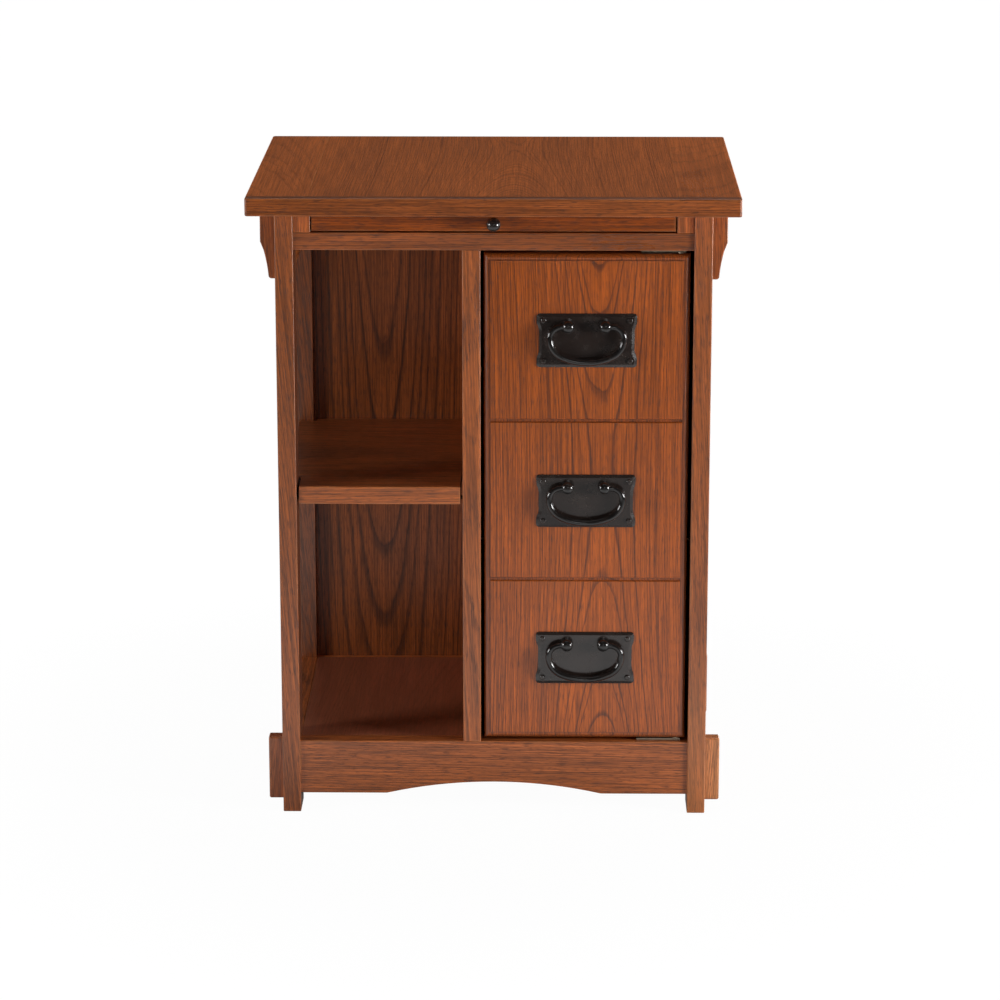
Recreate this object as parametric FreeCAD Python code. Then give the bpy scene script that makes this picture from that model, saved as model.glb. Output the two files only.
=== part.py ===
import FreeCAD
import Part
import math
import os

V = FreeCAD.Vector

# Cabinet table, in millimetres. X runs to the right, Y to the back and Z up.
# The origin is on the floor under the middle of the table top.

# Table top
TOP_WIDTH = 482.0
TOP_DEPTH = 380.0
TABLE_HEIGHT = 638.0
TOP_THICKNESS = 18.0
TOP_CORNER_RADIUS = 3.0
TOP_ARRIS = 1.5
END_BOARD_WIDTH = 61.0
LIP_DEPTH = 12.0
SEAM = 0.2
TONGUE_DEPTH = 6.0
TONGUE_THICKNESS = 6.0
TONGUE_STOP = 15.0

# Frame
SIDE_OVERHANG = 26.5
FRONT_OVERHANG = 27.0
REAR_OVERHANG = 30.0
LEG_WIDTH = 18.0
LEG_DEPTH = 40.0
FRONT_SETBACK = 2.5
RAIL_THICKNESS = 18.0
RAIL_LIP = 4.0
TOP_RAIL_DROP = 21.5
APRON_CLEARANCE = 19.5
APRON_HEIGHT = 56.0
ARCH_SPAN = 220.0
ARCH_RISE = 12.7
ARRIS = 1.0

# Corbels under the top and blocks at the feet, on the outside of the legs
CORBEL_DEPTH = 15.0
CORBEL_REACH = 15.0
CORBEL_HEIGHT = 69.0
CORBEL_HEAD = 32.0
CORBEL_STEP = 3.3
CORBEL_STEP_FALL = 8.5
CORBEL_TOE = 7.2
CORBEL_HOLLOW = 0.6
CORBEL_TOE_RADIUS = 3.0
FOOT_REACH = 15.0
FOOT_DEPTH = 15.0
FOOT_HEIGHT = 66.0
FOOT_LIFT = 10.0
FOOT_ARRIS = 2.0

# Panels, divider and shelves
PANEL_THICKNESS = 6.0
GROOVE_DEPTH = 6.0
PANEL_FIT = 0.1
BACK_INSET = 9.0
BOTTOM_THICKNESS = 18.0
DUST_THICKNESS = 9.0
BAY_WIDTH = 165.5
DIVIDER_THICKNESS = 18.0
SHELF_THICKNESS = 18.0
SHELF_LEVEL = 342.0
SHELF_END_GAP = 2.5
SHELF_BACK_GAP = 0.5
SHELF_SETBACK = 0.5
WING_SETBACK = 2.0
WING_GAP = 2.5
CABINET_SHELF_LEVEL = 300.0
CABINET_SHELF_SETBACK = 12.0
PIN_DIAMETER = 5.0
PIN_COVER = 1.0
PIN_REACH = 10.0
PIN_TAB = 2.0
PIN_TAB_WIDTH = 8.0
PIN_INSET = 5.0

# Pull-out tray
TRAY_THICKNESS = 18.0
TRAY_TOP_GAP = 1.5
TRAY_SIDE_GAP = 1.5
TRAY_RAIL_GAP = 1.5
TRAY_BACK_GAP = 21.5
TRAY_FRONT_DEPTH = 12.0
TRAY_TAIL = 33.5
STOP_HEIGHT = 5.0
STOP_WIDTH = 80.0
STOP_DEPTH = 20.0
STOP_GAP = 0.5
STOP_CLEARANCE = 1.0
GUIDE_WIDTH = 17.0
LEDGE_WIDTH = 14.0
RUN_CLEARANCE = 0.3
RUNNER_SCREW_DIAMETER = 4.0
RUNNER_SCREW_HEAD = 8.0
RUNNER_SCREW_HEAD_HEIGHT = 3.0
RUNNER_SCREW_SINK = 1.5
RUNNER_SCREW_COVER = 3.5
RUNNER_SCREW_MARGIN = 30.0
KNOB_DIAMETER = 14.0
KNOB_NECK_DIAMETER = 7.5
KNOB_NECK_LENGTH = 6.0
STUD_DIAMETER = 4.0
STUD_IN_KNOB = 8.0
STUD_IN_TRAY = 9.0

# Door
DOOR_THICKNESS = 18.0
DOOR_SIDE_GAP = 3.2
DOOR_END_GAP = 3.5
EDGE_STEP_WIDTH = 6.5
EDGE_STEP_DEPTH = 1.0
EDGE_RADIUS = 5.0
FALSE_DRAWERS = 3
DRAWER_SEAM_WIDTH = 4.3
DRAWER_SEAM_FLOOR = 2.0
DRAWER_SEAM_DEPTH = 2.2

# Pivot hinges and catch
PIVOT_INSET = 9.0
PIVOT_DEPTH = 9.0
PIVOT_DIAMETER = 4.0
PIVOT_FIT = 0.05
PIVOT_IN_FRAME = 4.0
PIVOT_HOLE_CLEARANCE = 0.3
COLLAR_DIAMETER = 7.0
COLLAR_CLEARANCE = 0.3
HINGE_LENGTH = 44.0
HINGE_WIDTH = 8.0
HINGE_NOSE = 4.5
HINGE_PLATE_THICKNESS = 2.2
HINGE_LEAF_THICKNESS = 1.5
HINGE_SCREW_INSET = 8.0
HINGE_SCREW_SPACING = 18.0
SCREW_DIAMETER = 3.0
SCREW_LENGTH = 10.0
SCREW_HEAD_DIAMETER = 5.6
SCREW_HEAD_HEIGHT = 1.3
SCREW_FIT = 0.05
CATCH_OFFSET = 65.0
CATCH_WIDTH = 24.0
CATCH_DEPTH = 14.0
CATCH_FLANGE = 10.0
CATCH_FLANGE_THICKNESS = 3.0
CATCH_GAP = 0.3
STRIKE_WIDTH = 18.0
STRIKE_HEIGHT = 12.0
STRIKE_THICKNESS = 1.5
STRIKE_DROP = 3.0
STRIKE_SCREW_SPACING = 9.0

# Bail pulls
PLATE_WIDTH = 99.0
PLATE_HEIGHT = 54.0
PLATE_THICKNESS = 2.5
PLATE_WAIST = 2.4
PLATE_EAR = 6.5
PLATE_EAR_SLOPE = 12.0
PLATE_CORNER_RADIUS = 3.5
PLATE_BEVEL_WIDTH = 3.0
PLATE_BEVEL_DEPTH = 1.5
NAIL_INSET = 6.8
NAIL_HEAD_DIAMETER = 5.4
NAIL_HEAD_HEIGHT = 1.6
NAIL_ROUND = 1.2
NAIL_DIAMETER = 2.0
NAIL_LENGTH = 10.0
POST_SPACING = 36.5
POST_DIAMETER = 12.5
POST_HEIGHT = 11.0
POST_ROUND = 5.5
POST_DROP = 12.0
POST_SHANK_DIAMETER = 5.0
POST_SHANK_LENGTH = 8.0
BAIL_WIRE = 6.2
BAIL_STANDOFF = 6.0
BAIL_END_DEPTH = 7.0
BAIL_END_CLEARANCE = 1.0
BAIL_POST_GAP = 0.3
BAIL_SHOULDER = 11.75
BAIL_DROP = 39.0
BAIL_FLANK_ANGLE = 65.0
BAIL_FIT = 0.05

# Dowels
DOWEL_DIAMETER = 6.0
DOWEL_LENGTH = 20.0
DOWEL_SEAT = 8.0
DOWEL_FIT = 0.05
DOWEL_END_GAP = 0.5
DOWEL_MARGIN = 14.0
SIDE_DOWEL_DROP = 22.0
REAR_DOWEL_RISE = 28.0
REAR_DOWEL_LOW = 5.0
TOP_DOWEL_SPACING = 40.0
REAR_TOP_DOWEL_SPACING = 160.0
BOTTOM_DOWEL_SPACING = 120.0
DIVIDER_DOWEL_MARGIN = 40.0
CORBEL_DOWEL_DROP = 9.0
CORBEL_DOWEL_SPACING = 16.0

# Worked out from the driving dimensions
UNDER = TABLE_HEIGHT - TOP_THICKNESS
LEG_OUT = TOP_WIDTH / 2 - SIDE_OVERHANG
LEG_IN = LEG_OUT - LEG_WIDTH
LEG_MID = (LEG_OUT + LEG_IN) / 2
LEG_FRONT = FRONT_OVERHANG - TOP_DEPTH / 2
LEG_REAR = TOP_DEPTH / 2 - REAR_OVERHANG
RAIL_START = LEG_FRONT + LEG_DEPTH
RAIL_END = LEG_REAR - LEG_DEPTH
SIDE_MID = (RAIL_START + RAIL_END) / 2
FACE = LEG_FRONT + FRONT_SETBACK
FACE_BACK = FACE + RAIL_THICKNESS
BACK_FRONT = RAIL_END + BACK_INSET
BACK_MID = BACK_FRONT + PANEL_THICKNESS / 2
REAR_FRONT = BACK_MID - RAIL_THICKNESS / 2
BOTTOM_LEVEL = APRON_CLEARANCE + APRON_HEIGHT
PIN_SEAT = (LEG_WIDTH - PANEL_THICKNESS) / 2 - PIN_COVER
TRAY_TOP = UNDER - TRAY_TOP_GAP
TRAY_BOTTOM = TRAY_TOP - TRAY_THICKNESS
TRAY_MID = (TRAY_TOP + TRAY_BOTTOM) / 2
TRAY_HALF = LEG_IN - GUIDE_WIDTH - TRAY_SIDE_GAP
TRAY_REAR = REAR_FRONT - TRAY_BACK_GAP
STOP_REAR = TRAY_REAR - TRAY_TAIL
STOP_FRONT = STOP_REAR - STOP_DEPTH
TRAY_TRAVEL = STOP_FRONT - FACE_BACK - STOP_GAP
RAIL_TOP = TRAY_BOTTOM - TRAY_RAIL_GAP
DUST_TOP = TRAY_BOTTOM - STOP_HEIGHT - STOP_CLEARANCE
DUST_BOTTOM = DUST_TOP - DUST_THICKNESS
RAIL_BOTTOM = DUST_BOTTOM - RAIL_LIP
TOP_RAIL_BOTTOM = RAIL_BOTTOM - TOP_RAIL_DROP
DIVIDER_LEFT = BAY_WIDTH - LEG_IN
DIVIDER_RIGHT = DIVIDER_LEFT + DIVIDER_THICKNESS
DOOR_LEFT = DIVIDER_RIGHT + DOOR_SIDE_GAP
DOOR_RIGHT = LEG_IN - DOOR_SIDE_GAP
DOOR_MID = (DOOR_LEFT + DOOR_RIGHT) / 2
DOOR_LOW = BOTTOM_LEVEL + DOOR_END_GAP
DOOR_HIGH = RAIL_BOTTOM - DOOR_END_GAP
DOOR_BACK = FACE + DOOR_THICKNESS
PIVOT_X = DOOR_RIGHT - PIVOT_INSET
PIVOT_Y = FACE + PIVOT_DEPTH
PLATE_FACE = FACE - PLATE_THICKNESS
BAIL_AXIS_Y = PLATE_FACE - BAIL_STANDOFF

LEFT = V(-1, 0, 0)
RIGHT = V(1, 0, 0)
FORWARD = V(0, -1, 0)
BACKWARD = V(0, 1, 0)
UP = V(0, 0, 1)
DOWN = V(0, 0, -1)
SIDES = (("left", -1), ("right", 1))
ENDS = (("front", LEG_FRONT), ("rear", RAIL_END))

parts = {}
dowels = []
runner_screws = []
frame_screws = []
door_screws = []


def box(x, y, z):
    """Box between a pair of limits along each axis."""
    return Part.makeBox(x[1] - x[0], y[1] - y[0], z[1] - z[0], V(x[0], y[0], z[0]))


def between(side, inner, outer):
    """Pair of X limits at two distances from the middle, on one side of it."""
    return sorted((side * inner, side * outer))


def around(middle, width):
    """Pair of limits of a width about a middle."""
    return middle - width / 2, middle + width / 2


def grown(limits, margin):
    """Pair of limits moved apart by a margin at each end."""
    return limits[0] - margin, limits[1] + margin


def rod(start, direction, diameter, length):
    """Round bar from a point along a direction."""
    return Part.makeCylinder(diameter / 2, length, start, direction)


def axis_of(edge):
    """Letter of the axis that a straight edge follows."""
    run = edge.Vertexes[-1].Point - edge.Vertexes[0].Point
    lengths = [abs(run.x), abs(run.y), abs(run.z)]
    return "XYZ"[lengths.index(max(lengths))]


def eased(shape, axes, radius=ARRIS):
    """Shape with its edges along the named axes rounded over."""
    return shape.makeFillet(radius, [edge for edge in shape.Edges if axis_of(edge) in axes])


def board(x, y, z, along):
    """Plank with its four long edges rounded over."""
    return eased(box(x, y, z), along)


def drill(cutter, *names):
    """Takes a cutter away from each named piece."""
    for name in names:
        parts[name] = parts[name].cut(cutter)


def tongue(x, y, z, owner, socket):
    """Tongue on one piece, in a groove of the other."""
    parts[owner] = parts[owner].fuse(box(x, y, z)).removeSplitter()
    drill(box(grown(x, PANEL_FIT), grown(y, PANEL_FIT), grown(z, PANEL_FIT)), socket)


def peg(joint, direction, *names):
    """Dowel across a joint: its seat lies behind the joint and the rest ahead of it."""
    start = joint - direction * DOWEL_SEAT
    dowels.append(rod(start, direction, DOWEL_DIAMETER, DOWEL_LENGTH))
    bore = DOWEL_DIAMETER + 2 * DOWEL_FIT
    hole_start = start - direction * DOWEL_END_GAP
    drill(rod(hole_start, direction, bore, DOWEL_LENGTH + 2 * DOWEL_END_GAP), *names)


def countersunk(head, direction, spare):
    """Countersunk screw from its flush head, with a spare radius and length for its hole."""
    cone = Part.makeCone(
        SCREW_HEAD_DIAMETER / 2 + spare, SCREW_DIAMETER / 2 + spare, SCREW_HEAD_HEIGHT, head, direction
    )
    shank = rod(head, direction, SCREW_DIAMETER + 2 * spare, SCREW_LENGTH + spare)
    return cone.fuse(shank).removeSplitter()


def screw(group, head, direction, *names):
    """Small countersunk screw in its hole through the named pieces."""
    group.append(countersunk(head, direction, 0.0))
    drill(countersunk(head, direction, SCREW_FIT), *names)


def build_top():
    """Top slab cut into a centre panel, end boards and a front lip, with tongues between them."""
    slab = box((-TOP_WIDTH / 2, TOP_WIDTH / 2), (-TOP_DEPTH / 2, TOP_DEPTH / 2), (UNDER, TABLE_HEIGHT))
    slab = eased(slab, "Z", TOP_CORNER_RADIUS)
    rim = [edge for edge in slab.Edges if edge.BoundBox.ZLength < SEAM]
    slab = slab.makeFillet(TOP_ARRIS, rim)
    height = (UNDER, TABLE_HEIGHT)
    lip_back = LIP_DEPTH - TOP_DEPTH / 2
    seam_x = TOP_WIDTH / 2 - END_BOARD_WIDTH
    deep = (lip_back + SEAM, TOP_DEPTH / 2)
    inner = seam_x - SEAM
    across = (-TOP_WIDTH / 2, TOP_WIDTH / 2)
    parts["top_front_lip"] = slab.common(box(across, (-TOP_DEPTH / 2, lip_back), height))
    parts["top_centre_panel"] = slab.common(box((-inner, inner), deep, height))
    level = around((UNDER + TABLE_HEIGHT) / 2, TONGUE_THICKNESS)
    run = (lip_back + TONGUE_STOP, TOP_DEPTH / 2 - TONGUE_STOP)
    front = (lip_back - TONGUE_DEPTH, lip_back + SEAM)
    for label, side in SIDES:
        name = "top_end_" + label
        parts[name] = slab.common(box(between(side, seam_x, TOP_WIDTH / 2), deep, height))
        tongue(between(side, inner, seam_x + TONGUE_DEPTH), run, level, "top_centre_panel", name)
        reach = between(side, seam_x + TONGUE_STOP, TOP_WIDTH / 2 - TONGUE_STOP)
        tongue(reach, front, level, name, "top_front_lip")
    reach = (TONGUE_STOP - inner, inner - TONGUE_STOP)
    tongue(reach, front, level, "top_centre_panel", "top_front_lip")


def build_legs():
    """Four plain posts, eased along their length and round their feet."""
    for end, start in ENDS:
        for label, side in SIDES:
            post = box(between(side, LEG_IN, LEG_OUT), (start, start + LEG_DEPTH), (0, UNDER))
            edges = [edge for edge in post.Edges if edge.BoundBox.ZMin < ARRIS]
            parts["leg_" + end + "_" + label] = post.makeFillet(ARRIS, edges)


def corbel(side, middle):
    """Bracket with a square head, a short slope and a hollow taper down to its toe."""
    foot = UNDER - CORBEL_HEIGHT
    head = V(CORBEL_REACH, 0, UNDER - CORBEL_HEAD)
    waist = head + V(-CORBEL_STEP, 0, -CORBEL_STEP_FALL)
    toe = V(CORBEL_TOE, 0, foot + CORBEL_TOE_RADIUS)
    hollow = (waist + toe) / 2 - V(CORBEL_HOLLOW, 0, 0)
    heel = V(CORBEL_TOE - CORBEL_TOE_RADIUS, 0, foot)
    slant = CORBEL_TOE_RADIUS * math.sqrt(0.5)
    curl = V(heel.x + slant, 0, toe.z - slant)
    outline = Part.Wire([
        Part.makeLine(V(0, 0, UNDER), V(CORBEL_REACH, 0, UNDER)),
        Part.makeLine(V(CORBEL_REACH, 0, UNDER), head),
        Part.makeLine(head, waist),
        Part.Arc(waist, hollow, toe).toShape(),
        Part.Arc(toe, curl, heel).toShape(),
        Part.makeLine(heel, V(0, 0, foot)),
        Part.makeLine(V(0, 0, foot), V(0, 0, UNDER)),
    ])
    solid = Part.Face(outline).extrude(V(0, CORBEL_DEPTH, 0))
    front_rim = [edge for edge in solid.Edges if edge.BoundBox.YLength < SEAM]
    rim = [edge for edge in front_rim if edge.BoundBox.XMax > SEAM and edge.BoundBox.ZMin < UNDER - SEAM]
    solid = solid.makeFillet(ARRIS, rim)
    if side < 0:
        solid = solid.mirror(V(0, 0, 0), RIGHT)
    solid.translate(V(side * LEG_OUT, middle - CORBEL_DEPTH / 2, 0))
    return solid


def foot_block(side, middle):
    """Small block on the outside of a leg, eased all round but where it meets the leg."""
    reach = between(side, LEG_OUT, LEG_OUT + FOOT_REACH)
    block = box(reach, around(middle, FOOT_DEPTH), (FOOT_LIFT, FOOT_LIFT + FOOT_HEIGHT))
    free = [edge for edge in block.Edges if abs(edge.CenterOfMass.x) > LEG_OUT + SEAM]
    return block.makeFillet(FOOT_ARRIS, free)


def build_trim():
    """Corbels and foot blocks, dowelled to the outside of each leg."""
    for end, start in ENDS:
        middle = start + LEG_DEPTH / 2
        for label, side in SIDES:
            leg = "leg_" + end + "_" + label
            outward = V(side, 0, 0)
            bracket = "corbel_" + end + "_" + label
            block = "foot_block_" + end + "_" + label
            parts[bracket] = corbel(side, middle)
            parts[block] = foot_block(side, middle)
            high = UNDER - CORBEL_DOWEL_DROP
            for z in (high, high - CORBEL_DOWEL_SPACING):
                peg(V(side * LEG_OUT, middle, z), outward, leg, bracket)
            for z in (FOOT_LIFT + DOWEL_MARGIN, FOOT_LIFT + FOOT_HEIGHT - DOWEL_MARGIN):
                peg(V(side * LEG_OUT, middle, z), outward, leg, block)


def arched_apron():
    """Bottom front rail with a shallow arch along its lower edge."""
    solid = board((-LEG_IN, LEG_IN), (FACE, FACE_BACK), (APRON_CLEARANCE, BOTTOM_LEVEL), "X")
    start = V(-ARCH_SPAN / 2, FACE - ARRIS, APRON_CLEARANCE)
    crown = V(0, FACE - ARRIS, APRON_CLEARANCE + ARCH_RISE)
    finish = V(ARCH_SPAN / 2, FACE - ARRIS, APRON_CLEARANCE)
    drop = V(0, 0, -ARCH_RISE)
    arch = Part.Wire([
        Part.Arc(start, crown, finish).toShape(),
        Part.makeLine(finish, finish + drop),
        Part.makeLine(finish + drop, start + drop),
        Part.makeLine(start + drop, start),
    ])
    return solid.cut(Part.Face(arch).extrude(V(0, RAIL_THICKNESS + 2 * ARRIS, 0)))


def build_frame():
    """Rails between the legs and the filler blocks beside the tray."""
    across = (-LEG_IN, LEG_IN)
    front = (FACE, FACE_BACK)
    rear = (REAR_FRONT, REAR_FRONT + RAIL_THICKNESS)
    run = (RAIL_START, RAIL_END)
    high = (TOP_RAIL_BOTTOM, UNDER)
    low = (APRON_CLEARANCE, BOTTOM_LEVEL)
    parts["front_rail"] = board(across, front, (RAIL_BOTTOM, RAIL_TOP), "X")
    parts["front_apron"] = arched_apron()
    parts["rear_top_rail"] = board(across, rear, high, "X")
    parts["rear_bottom_rail"] = board(across, rear, low, "X")
    rail_front = FACE + (RAIL_THICKNESS - GROOVE_DEPTH) / 2
    for label, side in SIDES:
        inward = V(-side, 0, 0)
        front_leg = "leg_front_" + label
        rear_leg = "leg_rear_" + label
        high_rail = "side_top_rail_" + label
        low_rail = "side_bottom_rail_" + label
        parts[high_rail] = board(between(side, LEG_IN, LEG_OUT), run, high, "Y")
        parts[low_rail] = board(between(side, LEG_IN, LEG_OUT), run, low, "Y")
        filler = between(side, LEG_IN - GUIDE_WIDTH, LEG_IN)
        parts["tray_side_block_" + label] = board(filler, front, (RAIL_TOP, UNDER), "Z")
        peg(V(side * LEG_IN, rail_front, (RAIL_BOTTOM + RAIL_TOP) / 2), inward, front_leg, "front_rail")
        for z in (APRON_CLEARANCE + DOWEL_MARGIN, BOTTOM_LEVEL - DOWEL_MARGIN):
            peg(V(side * LEG_IN, FACE + RAIL_THICKNESS / 2, z), inward, front_leg, "front_apron")
            peg(V(side * LEG_MID, RAIL_START, z), BACKWARD, front_leg, low_rail)
            peg(V(side * LEG_MID, RAIL_END, z), FORWARD, rear_leg, low_rail)
        for z in (TOP_RAIL_BOTTOM + DOWEL_MARGIN, UNDER - SIDE_DOWEL_DROP):
            peg(V(side * LEG_MID, RAIL_START, z), BACKWARD, front_leg, high_rail)
            peg(V(side * LEG_MID, RAIL_END, z), FORWARD, rear_leg, high_rail)
        for z in (TOP_RAIL_BOTTOM + REAR_DOWEL_RISE, UNDER - DOWEL_MARGIN):
            peg(V(side * LEG_IN, BACK_MID, z), inward, rear_leg, "rear_top_rail")
        for z in (APRON_CLEARANCE + REAR_DOWEL_LOW, APRON_CLEARANCE + REAR_DOWEL_RISE):
            peg(V(side * LEG_IN, BACK_MID, z), inward, rear_leg, "rear_bottom_rail")
        for y in around(SIDE_MID, TOP_DOWEL_SPACING):
            peg(V(side * LEG_MID, y, UNDER), DOWN, "top_end_" + label, high_rail)
        rear_x = side * REAR_TOP_DOWEL_SPACING / 2
        peg(V(rear_x, BACK_MID, UNDER), DOWN, "top_centre_panel", "rear_top_rail")


def build_panels():
    """Back panel, right side panel and dust panel in grooves, and the doweled bottom panel."""
    inside = (BOTTOM_LEVEL - GROOVE_DEPTH, TOP_RAIL_BOTTOM + GROOVE_DEPTH)
    wide = (-LEG_IN - GROOVE_DEPTH, LEG_IN + GROOVE_DEPTH)
    thick = (BACK_FRONT, BACK_FRONT + PANEL_THICKNESS)
    parts["back_panel"] = box(grown(wide, -PANEL_FIT), thick, grown(inside, -PANEL_FIT))
    groove = box(wide, grown(thick, PANEL_FIT), inside)
    drill(groove, "leg_rear_left", "leg_rear_right", "rear_top_rail", "rear_bottom_rail")

    deep = (RAIL_START - GROOVE_DEPTH, RAIL_END + GROOVE_DEPTH)
    thick = around(LEG_MID, PANEL_THICKNESS)
    parts["side_panel_right"] = box(thick, grown(deep, -PANEL_FIT), grown(inside, -PANEL_FIT))
    groove = box(grown(thick, PANEL_FIT), deep, inside)
    drill(groove, "leg_front_right", "leg_rear_right", "side_top_rail_right", "side_bottom_rail_right")

    deep = (FACE_BACK - GROOVE_DEPTH, REAR_FRONT + GROOVE_DEPTH)
    thick = (DUST_BOTTOM, DUST_TOP)
    parts["dust_panel"] = box((PANEL_FIT - LEG_IN, LEG_IN - PANEL_FIT), grown(deep, -PANEL_FIT), thick)
    groove = box((-LEG_IN, LEG_IN), deep, grown(thick, PANEL_FIT))
    drill(groove, "front_rail", "rear_top_rail")

    across = (-LEG_IN, LEG_IN)
    height = (BOTTOM_LEVEL - BOTTOM_THICKNESS, BOTTOM_LEVEL)
    parts["bottom_panel"] = box(across, (FACE_BACK, REAR_FRONT), height)
    z = BOTTOM_LEVEL - BOTTOM_THICKNESS / 2
    for label, side in SIDES:
        x = side * BOTTOM_DOWEL_SPACING / 2
        peg(V(x, FACE_BACK, z), BACKWARD, "front_apron", "bottom_panel")
        peg(V(x, REAR_FRONT, z), FORWARD, "rear_bottom_rail", "bottom_panel")
        for y in around(SIDE_MID, BOTTOM_DOWEL_SPACING):
            peg(V(side * LEG_IN, y, z), V(-side, 0, 0), "side_bottom_rail_" + label, "bottom_panel")


def build_divider():
    """Upright between the open bay and the cabinet, notched round the rails at its top."""
    x = (DIVIDER_LEFT, DIVIDER_RIGHT)
    upright = board(x, (FACE, BACK_FRONT), (BOTTOM_LEVEL, RAIL_BOTTOM), "Z")
    upright = upright.cut(box(x, (REAR_FRONT, BACK_FRONT), (TOP_RAIL_BOTTOM, RAIL_BOTTOM)))
    crest = box(x, (FACE_BACK, REAR_FRONT), (RAIL_BOTTOM, DUST_BOTTOM))
    parts["centre_divider"] = upright.fuse(crest).removeSplitter()
    middle = (DIVIDER_LEFT + DIVIDER_RIGHT) / 2
    for y in (FACE_BACK + DIVIDER_DOWEL_MARGIN, REAR_FRONT - DIVIDER_DOWEL_MARGIN):
        peg(V(middle, y, BOTTOM_LEVEL), UP, "bottom_panel", "centre_divider")
    rail_front = FACE + (RAIL_THICKNESS - GROOVE_DEPTH) / 2
    peg(V(middle, rail_front, RAIL_BOTTOM), DOWN, "front_rail", "centre_divider")


def shelf_pin(wall_x, direction, y, shelf_bottom, wall):
    """Spoon pin: a round shank in the wall and a flat tab under the shelf."""
    centre = shelf_bottom - PIN_DIAMETER / 2
    face = V(wall_x, y, centre)
    back = face - direction * PIN_SEAT
    shank = rod(back, direction, PIN_DIAMETER, PIN_SEAT)
    tip = wall_x + direction.x * PIN_REACH
    tab = box(sorted((wall_x, tip)), around(y, PIN_TAB_WIDTH), (shelf_bottom - PIN_TAB, shelf_bottom))
    hole_start = back - direction * DOWEL_END_GAP
    hole = rod(hole_start, direction, PIN_DIAMETER + 2 * DOWEL_FIT, PIN_SEAT + DOWEL_END_GAP)
    drill(hole, wall)
    return shank.fuse(tab).removeSplitter()


def build_shelves():
    """Open shelf, with a wing between the legs of its open side, and cabinet shelf, each on four pins."""
    back = BACK_FRONT - SHELF_BACK_GAP
    open_low = SHELF_LEVEL - SHELF_THICKNESS
    open_x = (SHELF_END_GAP - LEG_IN, DIVIDER_LEFT - SHELF_END_GAP)
    open_y = (FACE + SHELF_SETBACK, back)
    wing_x = (WING_SETBACK - LEG_OUT, LEG_WIDTH - LEG_IN)
    wing_y = (RAIL_START + WING_GAP, RAIL_END - WING_GAP)
    shelf = board(open_x, open_y, (open_low, SHELF_LEVEL), "X")
    wing = board(wing_x, wing_y, (open_low, SHELF_LEVEL), "Y")
    parts["open_shelf"] = shelf.fuse(wing).removeSplitter()
    cabinet_low = CABINET_SHELF_LEVEL - SHELF_THICKNESS
    cabinet_x = (DIVIDER_RIGHT + SHELF_END_GAP, LEG_IN - SHELF_END_GAP)
    cabinet_y = (DOOR_BACK + CABINET_SHELF_SETBACK, back)
    parts["cabinet_shelf"] = board(cabinet_x, cabinet_y, (cabinet_low, CABINET_SHELF_LEVEL), "X")
    pins = []
    for end, y in (("front", RAIL_START - PIN_INSET), ("rear", RAIL_END + PIN_INSET)):
        pins.append(shelf_pin(-LEG_IN, RIGHT, y, open_low, "leg_" + end + "_left"))
        pins.append(shelf_pin(DIVIDER_LEFT, LEFT, y, open_low, "centre_divider"))
        pins.append(shelf_pin(LEG_IN, LEFT, y, cabinet_low, "leg_" + end + "_right"))
        pins.append(shelf_pin(DIVIDER_RIGHT, RIGHT, y, cabinet_low, "centre_divider"))
    parts["shelf_pins"] = Part.makeCompound(pins)


def build_runners():
    """Runners that guide the tray at its sides and carry it on a ledge, screwed to the side rails."""
    run = (FACE_BACK, REAR_FRONT)
    guide_face = LEG_IN - GUIDE_WIDTH
    z = (TRAY_BOTTOM + UNDER) / 2
    for label, side in SIDES:
        name = "tray_runner_" + label
        guide = box(between(side, guide_face, LEG_IN), run, (DUST_TOP, UNDER))
        ledge_x = between(side, guide_face - LEDGE_WIDTH, LEG_IN)
        ledge = box(ledge_x, run, (DUST_TOP, TRAY_BOTTOM - RUN_CLEARANCE))
        parts[name] = guide.fuse(ledge).removeSplitter()
        outward = V(side, 0, 0)
        for y in (RAIL_START + RUNNER_SCREW_MARGIN, RAIL_END - RUNNER_SCREW_MARGIN):
            mouth = V(side * guide_face, y, z)
            seat = mouth + outward * RUNNER_SCREW_SINK
            length = LEG_OUT - RUNNER_SCREW_COVER - guide_face - RUNNER_SCREW_SINK
            head = rod(seat, outward, RUNNER_SCREW_HEAD, RUNNER_SCREW_HEAD_HEIGHT)
            shank = rod(seat, outward, RUNNER_SCREW_DIAMETER, length)
            runner_screws.append(head.fuse(shank).removeSplitter())
            sink = RUNNER_SCREW_SINK + RUNNER_SCREW_HEAD_HEIGHT
            drill(rod(mouth, outward, RUNNER_SCREW_HEAD + 2 * SCREW_FIT, sink), name)
            bore = rod(mouth, outward, RUNNER_SCREW_DIAMETER + 2 * SCREW_FIT, length + RUNNER_SCREW_SINK)
            drill(bore, name, "side_top_rail_" + label)
    parts["runner_screws"] = Part.makeCompound(runner_screws)


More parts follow.
